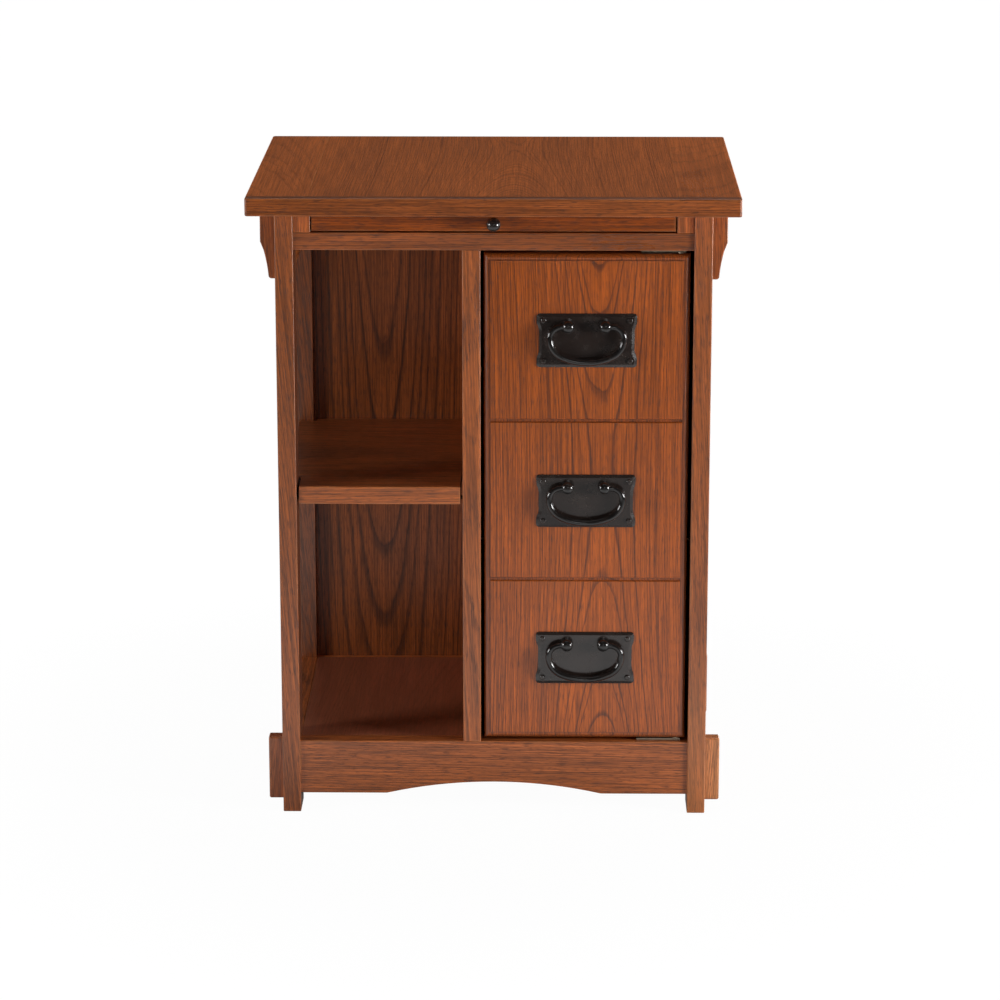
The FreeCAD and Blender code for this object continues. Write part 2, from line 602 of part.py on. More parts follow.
def build_tray():
    """Pull-out tray: a panel with a front edge, a stop under it and a ball knob on a stud."""
    across = (-TRAY_HALF, TRAY_HALF)
    height = (TRAY_BOTTOM, TRAY_TOP)
    joint = FACE + TRAY_FRONT_DEPTH
    parts["tray_front"] = board(across, (FACE, joint), height, "X")
    parts["tray_panel"] = box(across, (joint, TRAY_REAR), height)
    reach = (TONGUE_STOP - TRAY_HALF, TRAY_HALF - TONGUE_STOP)
    edge = (joint - TONGUE_DEPTH / 2, joint)
    tongue(reach, edge, around(TRAY_MID, TONGUE_THICKNESS), "tray_panel", "tray_front")
    stop_x = (-STOP_WIDTH / 2, STOP_WIDTH / 2)
    parts["tray_stop"] = box(stop_x, (STOP_FRONT, STOP_REAR), (TRAY_BOTTOM - STOP_HEIGHT, TRAY_BOTTOM))
    seat = V(0, FACE, TRAY_MID)
    ball = Part.makeSphere(KNOB_DIAMETER / 2, seat + FORWARD * (KNOB_NECK_LENGTH + KNOB_DIAMETER / 2))
    neck = rod(seat, FORWARD, KNOB_NECK_DIAMETER, KNOB_NECK_LENGTH + KNOB_DIAMETER / 2)
    parts["tray_knob"] = neck.fuse(ball).removeSplitter()
    start = seat + BACKWARD * STUD_IN_TRAY
    length = STUD_IN_TRAY + STUD_IN_KNOB
    parts["tray_knob_stud"] = rod(start, FORWARD, STUD_DIAMETER, length)
    drill(rod(start, FORWARD, STUD_DIAMETER + 2 * SCREW_FIT, length), "tray_knob", "tray_front")


def build_door():
    """Door slab with a rounded rim, a raised field and grooves that part it into false drawers."""
    x = (DOOR_LEFT, DOOR_RIGHT)
    z = (DOOR_LOW, DOOR_HIGH)
    rim = FACE + EDGE_STEP_DEPTH
    slab = box(x, (rim, DOOR_BACK), z)
    slab = slab.makeFillet(EDGE_RADIUS, [edge for edge in slab.Edges if edge.BoundBox.YMax < rim + SEAM])
    field_x = grown(x, -EDGE_STEP_WIDTH)
    field_z = grown(z, -EDGE_STEP_WIDTH)
    door = slab.fuse(box(field_x, (FACE, rim + EDGE_STEP_DEPTH), field_z)).removeSplitter()
    seams = (FALSE_DRAWERS - 1) * DRAWER_SEAM_WIDTH
    pitch = (field_z[1] - field_z[0] - seams) / FALSE_DRAWERS
    centres = []
    for index in range(FALSE_DRAWERS):
        low = field_z[0] + index * (pitch + DRAWER_SEAM_WIDTH)
        centres.append(low + pitch / 2)
        if index:
            door = door.cut(drawer_seam(field_x, low - DRAWER_SEAM_WIDTH / 2))
    parts["door_panel"] = door
    return centres


def drawer_seam(x, middle):
    """Groove cutter across the door's field, wider at its mouth than at its floor."""
    mouth = DRAWER_SEAM_WIDTH / 2
    floor = DRAWER_SEAM_FLOOR / 2
    deep = FACE + DRAWER_SEAM_DEPTH
    corners = [
        V(x[0], FACE, middle - mouth),
        V(x[0], FACE, middle + mouth),
        V(x[0], deep, middle + floor),
        V(x[0], deep, middle - floor),
    ]
    outline = Part.makePolygon(corners + corners[:1])
    return Part.Face(outline).extrude(V(x[1] - x[0], 0, 0))


def build_hinges():
    """Pivot hinges: a plate on the frame and a leaf with its pin let into the door, top and bottom."""
    x = (PIVOT_X + HINGE_NOSE - HINGE_LENGTH, PIVOT_X + HINGE_NOSE)
    y = around(PIVOT_Y, HINGE_WIDTH)
    first = x[0] + HINGE_SCREW_INSET
    screw_x = (first, first + HINGE_SCREW_SPACING)
    ends = (
        ("top", UP, RAIL_BOTTOM, DOOR_HIGH, "front_rail"),
        ("bottom", DOWN, BOTTOM_LEVEL, DOOR_LOW, "front_apron"),
    )
    for end, out, frame_z, door_z, frame in ends:
        plate = "pivot_plate_" + end
        leaf = "door_leaf_" + end
        plate_face = frame_z - out.z * HINGE_PLATE_THICKNESS
        leaf_back = door_z - out.z * HINGE_LEAF_THICKNESS
        parts[plate] = box(x, y, sorted((frame_z, plate_face)))
        leaf_box = box(x, y, sorted((door_z, leaf_back)))
        drill(leaf_box, "door_panel")
        foot = V(PIVOT_X, PIVOT_Y, leaf_back)
        length = abs(frame_z - leaf_back) + PIVOT_IN_FRAME
        pin = rod(foot, out, PIVOT_DIAMETER, length)
        collar = rod(foot, out, COLLAR_DIAMETER, abs(plate_face - leaf_back) - COLLAR_CLEARANCE)
        parts[leaf] = leaf_box.fuse([pin, collar]).removeSplitter()
        drill(rod(foot, out, PIVOT_DIAMETER + 2 * PIVOT_FIT, length), plate)
        well = rod(foot, out, PIVOT_DIAMETER + 2 * PIVOT_HOLE_CLEARANCE, length + PIVOT_HOLE_CLEARANCE)
        drill(well, frame)
        for sx in screw_x:
            screw(frame_screws, V(sx, PIVOT_Y, plate_face), out, plate, frame)
            screw(door_screws, V(sx, PIVOT_Y, door_z), -out, leaf, "door_panel")


def build_catch():
    """Magnet catch under the dust panel and a strike plate let into the back of the door."""
    middle = DIVIDER_RIGHT + CATCH_OFFSET
    strike_top = DOOR_HIGH - STRIKE_DROP
    strike_z = (strike_top - STRIKE_HEIGHT, strike_top)
    strike = box(around(middle, STRIKE_WIDTH), (DOOR_BACK - STRIKE_THICKNESS, DOOR_BACK), strike_z)
    parts["catch_strike"] = strike
    drill(strike, "door_panel")
    for x in around(middle, STRIKE_SCREW_SPACING):
        screw(door_screws, V(x, DOOR_BACK, sum(strike_z) / 2), FORWARD, "catch_strike", "door_panel")
    y = (DOOR_BACK + CATCH_GAP, DOOR_BACK + CATCH_GAP + CATCH_DEPTH)
    body = box(around(middle, CATCH_WIDTH), y, (strike_z[0], DUST_BOTTOM))
    flange_x = grown(around(middle, CATCH_WIDTH), CATCH_FLANGE)
    flange_low = DUST_BOTTOM - CATCH_FLANGE_THICKNESS
    flange = box(flange_x, y, (flange_low, DUST_BOTTOM))
    parts["magnet_catch"] = body.fuse(flange).removeSplitter()
    for x in grown(flange_x, -CATCH_FLANGE / 2):
        screw(frame_screws, V(x, sum(y) / 2, flange_low), UP, "magnet_catch", "dust_panel")
    parts["frame_screws"] = Part.makeCompound(frame_screws)
    parts["door_screws"] = Part.makeCompound(door_screws)


def plate_outline(middle, y):
    """Outline of a pull's back plate: straight top and bottom, and ears that curve in to a waist.

    Each ear meets the waist in two equal arcs of radius (l^2 + w^2) / 4w for a slope l long and w deep.
    """
    half = PLATE_WIDTH / 2
    tall = PLATE_HEIGHT / 2
    waist = half - PLATE_WAIST
    ear = tall - PLATE_EAR
    neck = ear - PLATE_EAR_SLOPE
    bend = (PLATE_EAR_SLOPE**2 + PLATE_WAIST**2) / (4 * PLATE_WAIST)
    lean = math.asin(PLATE_EAR_SLOPE / (2 * bend)) / 2
    reach = bend * (1 - math.cos(lean))
    rise = bend * math.sin(lean)
    corner_x = half - PLATE_CORNER_RADIUS
    corner_z = tall - PLATE_CORNER_RADIUS
    slant = PLATE_CORNER_RADIUS * math.cos(math.pi / 4)
    edges = []

    def at(x, z):
        return V(DOOR_MID + x, y, middle + z)

    def line(first, last):
        edges.append(Part.makeLine(at(*first), at(*last)))

    def arc(first, through, last):
        edges.append(Part.Arc(at(*first), at(*through), at(*last)).toShape())

    crossing = (half + waist) / 2
    swell = (crossing, (ear + neck) / 2)
    for sx, sz in ((1, 1), (1, -1), (-1, -1), (-1, 1)):
        pieces = [
            (arc, [(corner_x, tall), (corner_x + slant, corner_z + slant), (half, corner_z)]),
            (line, [(half, corner_z), (half, ear)]),
            (arc, [(half, ear), (half - reach, ear - rise), swell]),
            (arc, [swell, (waist + reach, neck + rise), (waist, neck)]),
        ]
        if sx * sz < 0:
            pieces = [(make, points[::-1]) for make, points in reversed(pieces)]
        for make, points in pieces:
            make(*[(sx * x, sz * z) for x, z in points])
        if sx * sz > 0:
            line((sx * waist, sz * neck), (sx * waist, -sz * neck))
        else:
            line((sx * corner_x, sz * tall), (-sx * corner_x, sz * tall))
    return Part.Wire(edges)


def back_plate(middle):
    """Back plate with a wide bevel round its rim."""
    rim = PLATE_FACE + PLATE_BEVEL_DEPTH
    base = Part.Face(plate_outline(middle, FACE)).extrude(FORWARD * (FACE - rim))
    crest = plate_outline(middle, PLATE_FACE).makeOffset2D(-PLATE_BEVEL_WIDTH)
    bevel = Part.makeLoft([plate_outline(middle, rim), crest], True, True)
    return base.fuse(bevel).removeSplitter()


def post(x, z, outward):
    """Post of a pull: a round-edged boss with a shank behind it and a side hole for the bail."""
    foot = V(x, PLATE_FACE, z)
    boss = rod(foot, FORWARD, POST_DIAMETER, POST_HEIGHT)
    tip = PLATE_FACE - POST_HEIGHT
    boss = boss.makeFillet(POST_ROUND, [edge for edge in boss.Edges if edge.BoundBox.YMax < tip + SEAM])
    shank = rod(foot, BACKWARD, POST_SHANK_DIAMETER, PLATE_THICKNESS + POST_SHANK_LENGTH)
    rim = V(x, BAIL_AXIS_Y, z) + outward * (POST_DIAMETER / 2)
    depth = BAIL_END_DEPTH + BAIL_END_CLEARANCE
    hole = rod(rim - outward * depth, outward, BAIL_WIRE + 2 * BAIL_FIT, depth + BAIL_WIRE)
    return boss.fuse(shank).removeSplitter().cut(hole)


def bail(z):
    """Swinging bail: ends in the posts, round shoulders and a flat oval below.

    The oval has flanks of radius r that turn by the flank angle t and a bottom arc that meets them.
    With k = tan(45 - t/2), half width w and height h, r is (h - k w) / (1 - k).
    """
    begin = POST_SPACING / 2 + POST_DIAMETER / 2 - BAIL_END_DEPTH
    shoulder = POST_SPACING / 2 + POST_DIAMETER / 2 + BAIL_POST_GAP
    half = shoulder + BAIL_SHOULDER
    height = BAIL_DROP - BAIL_WIRE / 2 - BAIL_SHOULDER
    angle = math.radians(BAIL_FLANK_ANGLE)
    share = math.tan(math.pi / 4 - angle / 2)
    flank = (height - share * half) / (1 - share)
    offset = half - flank

    def at(u, w):
        return V(DOOR_MID + u, BAIL_AXIS_Y, z + w)

    def turn(u, w, radius, start, finish):
        """Arc about a centre between two angles below the horizontal."""
        points = []
        for step in (start, (start + finish) / 2, finish):
            points.append(at(u + radius * math.cos(step), w - radius * math.sin(step)))
        return Part.Arc(*points).toShape()

    level = -BAIL_SHOULDER
    sag = offset * math.tan(angle)
    bottom = flank + offset / math.cos(angle)
    quarter = math.pi / 2
    path = Part.Wire([
        Part.makeLine(at(begin, 0), at(shoulder, 0)),
        turn(shoulder, level, BAIL_SHOULDER, -quarter, 0),
        turn(offset, level, flank, 0, angle),
        turn(0, level + sag, bottom, angle, math.pi - angle),
        turn(-offset, level, flank, math.pi - angle, math.pi),
        turn(-shoulder, level, BAIL_SHOULDER, math.pi, math.pi + quarter),
        Part.makeLine(at(-shoulder, 0), at(-begin, 0)),
    ])
    section = Part.Wire(Part.makeCircle(BAIL_WIRE / 2, at(begin, 0), RIGHT))
    return path.makePipeShell([section], True, False)


def nail(x, z):
    """Round-headed nail through a back plate into the door."""
    head = rod(V(x, PLATE_FACE, z), FORWARD, NAIL_HEAD_DIAMETER, NAIL_HEAD_HEIGHT)
    tip = PLATE_FACE - NAIL_HEAD_HEIGHT
    head = head.makeFillet(NAIL_ROUND, [edge for edge in head.Edges if edge.BoundBox.YMax < tip + SEAM])
    return head.fuse(rod(V(x, PLATE_FACE, z), BACKWARD, NAIL_DIAMETER, NAIL_LENGTH)).removeSplitter()


def build_pulls(centres):
    """A bail pull in the middle of each false drawer."""
    posts = []
    nails = []
    for label, middle in zip(("bottom", "middle", "top"), centres):
        plate = "handle_plate_" + label
        parts[plate] = back_plate(middle)
        axis_z = middle + PLATE_HEIGHT / 2 - POST_DROP
        for side in (-1, 1):
            x = DOOR_MID + side * POST_SPACING / 2
            posts.append(post(x, axis_z, V(side, 0, 0)))
            shank = POST_SHANK_DIAMETER + 2 * SCREW_FIT
            drill(rod(V(x, PLATE_FACE, axis_z), BACKWARD, shank, PLATE_THICKNESS + POST_SHANK_LENGTH),
                  plate, "door_panel")
            for z in grown(around(middle, PLATE_HEIGHT), -NAIL_INSET):
                nail_x = DOOR_MID + side * (PLATE_WIDTH / 2 - NAIL_INSET)
                nails.append(nail(nail_x, z))
                bore = NAIL_DIAMETER + 2 * SCREW_FIT
                drill(rod(V(nail_x, PLATE_FACE, z), BACKWARD, bore, NAIL_LENGTH), plate, "door_panel")
        parts["handle_bail_" + label] = bail(axis_z)
    parts["handle_posts"] = Part.makeCompound(posts)
    parts["handle_nails"] = Part.makeCompound(nails)


def main():
    """Builds every piece and writes one file for each."""
    build_top()
    build_legs()
    build_trim()
    build_frame()
    build_panels()
    build_divider()
    build_shelves()
    build_runners()
    build_tray()
    centres = build_door()
    build_hinges()
    build_catch()
    build_pulls(centres)
    parts["joint_dowels"] = Part.makeCompound(dowels)
    os.makedirs("parts", exist_ok=True)
    for name, shape in parts.items():
        shape.exportStep("parts/" + name + ".step")
    print(len(parts), "pieces; tray travel", round(TRAY_TRAVEL, 2))
    print("door pivot", round(PIVOT_X, 2), round(PIVOT_Y, 2), "pull axes",
          [round(middle + PLATE_HEIGHT / 2 - POST_DROP, 2) for middle in centres])


main()
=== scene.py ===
import math
from dataclasses import dataclass

import bpy
import numpy as np
from bpy.props import FloatProperty, FloatVectorProperty, PointerProperty
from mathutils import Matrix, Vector


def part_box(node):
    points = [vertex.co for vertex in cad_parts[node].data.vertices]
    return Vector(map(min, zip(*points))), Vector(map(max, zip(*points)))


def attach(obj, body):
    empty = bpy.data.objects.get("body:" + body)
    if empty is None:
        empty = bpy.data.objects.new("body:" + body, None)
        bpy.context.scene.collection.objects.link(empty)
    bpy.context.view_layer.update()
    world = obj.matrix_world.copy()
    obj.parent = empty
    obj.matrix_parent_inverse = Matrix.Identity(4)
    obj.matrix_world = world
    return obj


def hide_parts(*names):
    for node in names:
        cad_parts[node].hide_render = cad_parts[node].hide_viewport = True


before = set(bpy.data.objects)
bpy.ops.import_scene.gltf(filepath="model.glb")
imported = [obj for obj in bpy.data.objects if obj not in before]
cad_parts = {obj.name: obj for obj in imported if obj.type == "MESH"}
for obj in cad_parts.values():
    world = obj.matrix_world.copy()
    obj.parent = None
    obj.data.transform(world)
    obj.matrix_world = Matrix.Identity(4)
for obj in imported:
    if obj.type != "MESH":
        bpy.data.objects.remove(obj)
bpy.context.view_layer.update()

bl_info = {
    "name": "Cabinet table looks",
    "version": (1, 0, 0),
    "blender": (4, 5, 0),
    "location": "View3D > Sidebar > Cabinet table",
    "description": "Stained oak, black pulls and steel fittings for a cabinet table with a tray and a door",
    "category": "Object",
}

PULLS = ("bottom", "middle", "top")
CORNERS = ("front_left", "front_right", "rear_left", "rear_right")
SIDES = ("left", "right")

# How light each leg is; the rear ones are made darker to paint the shade that falls on them.
LEG_TONES_AND_SHADE = {"front_left": 0.84, "front_right": 1.0, "rear_left": 0.66, "rear_right": 0.8}

# Turns that bring the direction of a board's grain onto Z, for boards along X, Y and Z.
GRAIN_TURNS = {
    "X": (0.0, -math.pi / 2, 0.0),
    "Y": (math.pi / 2, 0.0, 0.0),
    "Z": (0.0, 0.0, 0.0),
}

# Lumps of noise per metre, across the grain both ways and along it.
DRIFT = (9.0, 9.0, 2.6)
SHIVER = (70.0, 70.0, 20.0)
FINE_PORES = (1100.0, 1100.0, 85.0)
BROAD_PORES = (920.0, 920.0, 44.0)
FIBRES = (720.0, 720.0, 12.0)
STREAKS = (140.0, 140.0, 4.0)
CLOUDS = (11.0, 11.0, 3.0)

# How far the shiver moves a growth line, in metres, and the middle of a noise.
SHIVER_REACH = (0.0015, 0.0015, 0.0)
NOISE_MIDDLE = (0.5, 0.5, 0.5)

# Early wood across one growth ring, as stops of place and strength.
GROWTH_LINE = ((0.0, 1.0), (0.12, 0.85), (0.26, 0.12), (0.6, 0.0), (0.92, 0.1), (1.0, 1.0))

# How far one unit of a board's offset moves its figure, in metres.
OFFSET_STEP = (0.061, 0.047, 0.73)

# Where each mark begins and where it is full, in metres from the faces of a board's box: the lighter leg end, the
# painted shade on a leg's inner side, the painted light along a shelf's front, and the stain and painted shade in
# the door's grooves and rim.
PALE_HEIGHT = 0.22
INNER_SHADE_FRONT = (0.0012, 0.0030)
INNER_SHADE_DEPTH = (0.0014, 0.0006)
FRONT_LIGHT_DEPTH = (0.0022, 0.0016)
GROOVE_FRONT = (0.009, 0.006)
GROOVE_SUNK = (0.0004, 0.0016)
# Painted shade in the rim's inner corner, and the strength of it and of the stain and painted shade on the sunk
# grooves and rim.
RIM_SHADE_START = (0.0050, 0.0062)
RIM_SHADE_END = (0.0072, 0.0064)
RIM_SHADE = 0.45
SUNK_STAIN_AND_SHADE = 0.36

# Depth of each surface's relief, in metres.
OAK_RELIEF = 0.00007
LACQUER_RELIEF = 0.00003
STEEL_RELIEF = 0.00001
PLASTIC_RELIEF = 0.00004

# Floor: half its width, and the share that glows evenly where the rest takes light and shadow.
FLOOR_REACH = 30.0
FLOOR_GLOW = 0.96

# Ranges from one value to another and what they become: the floor's glow by distance, a little dimmer near the
# table as painted shade; what mirrors see of the floor far off, a painted pool of light that fades away, and
# close by, a painted shadow under the table; and what they see of the sky by height.
GLOW_WITH_PAINTED_SHADE = (0.35, 1.1, 1.012, 1.045)
SHEET_PAINTED_POOL = (0.6, 2.1, 1.0, 0.0)
SHEET_PAINTED_SHADOW = (0.22, 0.50, 0.15, 1.0)
SKY_RISE = (0.0, 0.06, 1.0, 0.0)

# Lamps by the name of their power, with width, height and place, all pointing at one spot.
LAMPS = {
    "key": (0.4, 0.4, (0.3, -2.9, 1.0)),
    "fill": (0.6, 0.6, (2.10, -0.95, 0.55)),
    "side": (0.6, 0.6, (-2.12, -0.90, 0.73)),
    "overhead": (1.4, 1.4, (0.0, 0.2, 2.4)),
    "behind": (1.4, 1.4, (0.9, 1.7, 3.0)),
    "rear": (0.8, 0.5, (1.5, 2.2, 0.30)),
}
LAMP_TARGET = (0.0, 0.0, 0.32)
SENSOR_WIDTH = 36.0
WHITE = (1.0, 1.0, 1.0, 1.0)


# Settings

def colour(name, description, default):
    """Colour property of three linear values."""
    return FloatVectorProperty(
        name=name, description=description, default=default, subtype="COLOR", size=3, min=0.0, max=1.0
    )


def length(name, description, default):
    """Length property in metres."""
    return FloatProperty(name=name, description=description, default=default, unit="LENGTH", min=0.0)


def share(name, description, default):
    """Property from nothing to one."""
    return FloatProperty(name=name, description=description, default=default, subtype="FACTOR", min=0.0, max=1.0)


def power(name, description, default):
    """Power property in watts."""
    return FloatProperty(name=name, description=description, default=default, unit="POWER")


def angle(name, description, degrees):
    """Angle property with its default in degrees."""
    return FloatProperty(name=name, description=description, default=math.radians(degrees), subtype="ANGLE")


def number(name, description, default, low):
    """Plain number with a lower limit."""
    return FloatProperty(name=name, description=description, default=default, min=low)


class OakSettings(bpy.types.PropertyGroup):
    """Colours and figure of the stained oak."""

    late: colour("Late wood", "Light wood between the growth lines", (0.372, 0.096, 0.020))
    early: colour("Early wood", "Dark wood along the growth lines", (0.095, 0.025, 0.006))
    pore: colour("Pores", "Stain gathered in the open pores", (0.052, 0.017, 0.009))
    worn: colour("Worn edge", "Wood where the stain is rubbed thin along edges", (0.40, 0.135, 0.040))
    door_late: colour("Door late wood", "Light wood of the door, a warmer board", (0.388, 0.081, 0.006))
    door_early: colour("Door early wood", "Dark wood of the door", (0.070, 0.014, 0.003))
    floor_late: colour("Bottom late wood", "Light wood of the bottom panel, a redder sheet", (0.42, 0.118, 0.055))
    # Lighter colour used on the front right foot block and towards the lower end of the front right leg.
    golden: colour("Golden block", "Light wood of the palest foot block", (0.56, 0.22, 0.075))
    ring: length("Ring width", "Distance between growth lines", 0.0020)
    edge: length("Edge wear", "Width of the rubbed line along edges", 0.0016)
    # Painted light: how much lighter the front edge of each shelf is made.
    band: number("Front light band", "How much lighter the band along a shelf's front is", 1.35, 0.0)
    # Painted shade: how dark the inner side of each leg is made.
    seam: share("Inner painted shade", "How dark the painted shade lies on the inner side of a leg", 0.85)
    # Stain and painted shade in the door's grooves and rim, and painted shade in the rim's inner corner.
    groove: share("Groove stain and shade", "How dark the stain and painted shade lie in the door's grooves and rim", 0.9)


class BareWoodSettings(bpy.types.PropertyGroup):
    """Colours of the unstained wood inside."""

    late: colour("Light wood", "Pale wood of runners and dowels", (0.56, 0.36, 0.19))
    early: colour("Dark wood", "Growth lines of runners and dowels", (0.40, 0.23, 0.11))
    pore: colour("Pores", "Pores of runners and dowels", (0.26, 0.14, 0.07))


class MetalSettings(bpy.types.PropertyGroup):
    """Finish of the pulls, hinges and catch."""

    black: colour("Black", "Lacquer of the back plates and nails", (0.0215, 0.0138, 0.0112))
    polished: colour("Polished black", "Lacquer of the bails, posts and knob", (0.0100, 0.0085, 0.0080))
    rubbed: colour("Rubbed black", "Lacquer where hands have rubbed it", (0.030, 0.021, 0.017))
    steel: colour("Steel", "Hinges and screws", (0.34, 0.27, 0.20))
    bronze: colour("Bronze", "Browned shelf pins", (0.050, 0.032, 0.020))
    plastic: colour("Catch", "Housing of the magnet catch", (0.085, 0.045, 0.025))


class BailSettings(bpy.types.PropertyGroup):
    """Form of the swinging bails."""

    wire: length("Wire of the solid", "Diameter of the bail in the part's source", 0.0062)
    end: length("Wire at the posts", "Diameter where the bail enters its posts", 0.0059)
    grip: length("Wire at the grip", "Diameter at the lowest point of the bail", 0.0066)
    shoulder: length("Shoulder", "Radius of the bend beside each post", 0.01175)
    seat: length("Seat", "Length of the straight end in each post", 0.0073)
    flank: angle("Flank", "Angle that the round flanks turn through", 65.0)


class StageSettings(bpy.types.PropertyGroup):
    """Floor, light and camera."""

    floor: colour("Floor", "Colour of the floor", (0.80, 0.80, 0.80))
    air: colour("Studio", "Light from all round", (0.035, 0.035, 0.035))
    key: power("Key light", "Power of the lamp in front", 2.0)
    fill: power("Fill light", "Power of the lamp on the right", 51.0)
    side: power("Side light", "Power of the lamp at the open side", 27.0)
    overhead: power("Overhead light", "Power of the lamp above", 11.0)
    behind: power("High rear light", "Power of the lamp high behind", 12.0)
    rear: power("Low rear light", "Power of the lamp that faces the back", 16.0)
    lens: number("Lens", "Focal length in millimetres", 128.12, 1.0)
    eye: FloatVectorProperty(
        name="Eye", description="Place of the camera", default=(0.0485, -3.5869, 1.2434), unit="LENGTH", size=3
    )
    tilt: angle("Tilt", "Angle that the camera looks down", 14.942)
    swing: angle("Swing", "Angle that the camera turns to the left", 0.706)


class TableSettings(bpy.types.PropertyGroup):
    """All settings of the cabinet table."""

    oak: PointerProperty(type=OakSettings)
    bare: PointerProperty(type=BareWoodSettings)
    metal: PointerProperty(type=MetalSettings)
    bail: PointerProperty(type=BailSettings)
    stage: PointerProperty(type=StageSettings)


# Shader helpers

class Wires:
    """Adds nodes to one tree; an input is a value, a socket or None to leave it."""

    def __init__(self, tree):
        self.tree = tree

    def feed(self, socket, value):
        """Links an input to another socket, or sets its own value."""
        if isinstance(value, bpy.types.NodeSocket):
            self.tree.links.new(value, socket)
        elif value is not None:
            socket.default_value = value

    def put(self, kind, *inputs, out=0, **settings):
        """New node with its inputs in order, and one of its outputs."""
        made = self.tree.nodes.new(kind)
        for key, value in settings.items():
            setattr(made, key, value)
        for socket, value in zip(made.inputs, inputs):
            self.feed(socket, value)
        return made.outputs[out]

    def math(self, operation, *inputs):
        """Sum, product or other plain arithmetic."""
        return self.put("ShaderNodeMath", *inputs, operation=operation)

    def vector(self, operation, *inputs):
        """Arithmetic on three values at once."""
        return self.put("ShaderNodeVectorMath", *inputs, operation=operation)

    def parts(self, vector):
        """The three values of a vector."""
        return self.put("ShaderNodeSeparateXYZ", vector).node.outputs

    def inset(self, place, low, high):
        """Distances to the nearer faces of a box along X, Y and Z."""
        return self.vector("MINIMUM", self.vector("SUBTRACT", place, low), self.vector("SUBTRACT", high, place))

    def noise(self, place, lumps, detail, out=0):
        """Noise with a number of lumps per metre, one number for all directions or one for each."""
        scale = lumps if isinstance(lumps, tuple) else (lumps,) * 3
        spread = self.vector("MULTIPLY", place, scale)
        return self.put("ShaderNodeTexNoise", spread, None, 1.0, detail, 0.5, out=out)

    def remap(self, value, low, high, first=0.0, last=1.0, smooth=True):
        """Value moved from one range to another and held inside it."""
        kind = "SMOOTHSTEP" if smooth else "LINEAR"
        return self.put("ShaderNodeMapRange", value, low, high, first, last, interpolation_type=kind)

    def mix(self, factor, first, last, blend="MIX"):
        """Two colours blended by a factor."""
        made = self.tree.nodes.new("ShaderNodeMix")
        made.data_type = "RGBA"
        made.blend_type = blend
        for index, value in ((0, factor), (6, first), (7, last)):
            self.feed(made.inputs[index], value)
        return made.outputs[2]

    def ramp(self, value, stops):
        """Value read off a line through stops of place and height."""
        made = self.tree.nodes.new("ShaderNodeValToRGB")
        points = made.color_ramp.elements
        while len(points) < len(stops):
            points.new(0.5)
        for point, (place, height) in zip(points, stops):
            point.position = place
            point.color = (height, height, height, 1.0)
        self.feed(made.inputs[0], value)
        return made.outputs[0]


SURFACE = (("Color", "Color"), ("Roughness", "Float"), ("Height", "Float"))


def new_group(name, inputs, outputs):
    """Wires of an empty shader group with named sockets, its inputs by name and its output node."""
    tree = bpy.data.node_groups.new(name, "ShaderNodeTree")
    for label, kind, default in inputs:
        socket = tree.interface.new_socket(label, in_out="INPUT", socket_type="NodeSocket" + kind)
        if default is not None:
            socket.default_value = default
    for label, kind in outputs:
        tree.interface.new_socket(label, in_out="OUTPUT", socket_type="NodeSocket" + kind)
    entry = tree.nodes.new("NodeGroupInput")
    leave = tree.nodes.new("NodeGroupOutput")
    return Wires(tree), {s.name: s for s in entry.outputs}, leave


def close_group(w, leave, *results):
    """Links the results of a group to its outputs, and gives the group."""
    for socket, value in zip(leave.inputs, results):
        w.feed(socket, value)
    return w.tree


def rgba(values):
    """Four values of an opaque colour."""
    return (*values, 1.0)


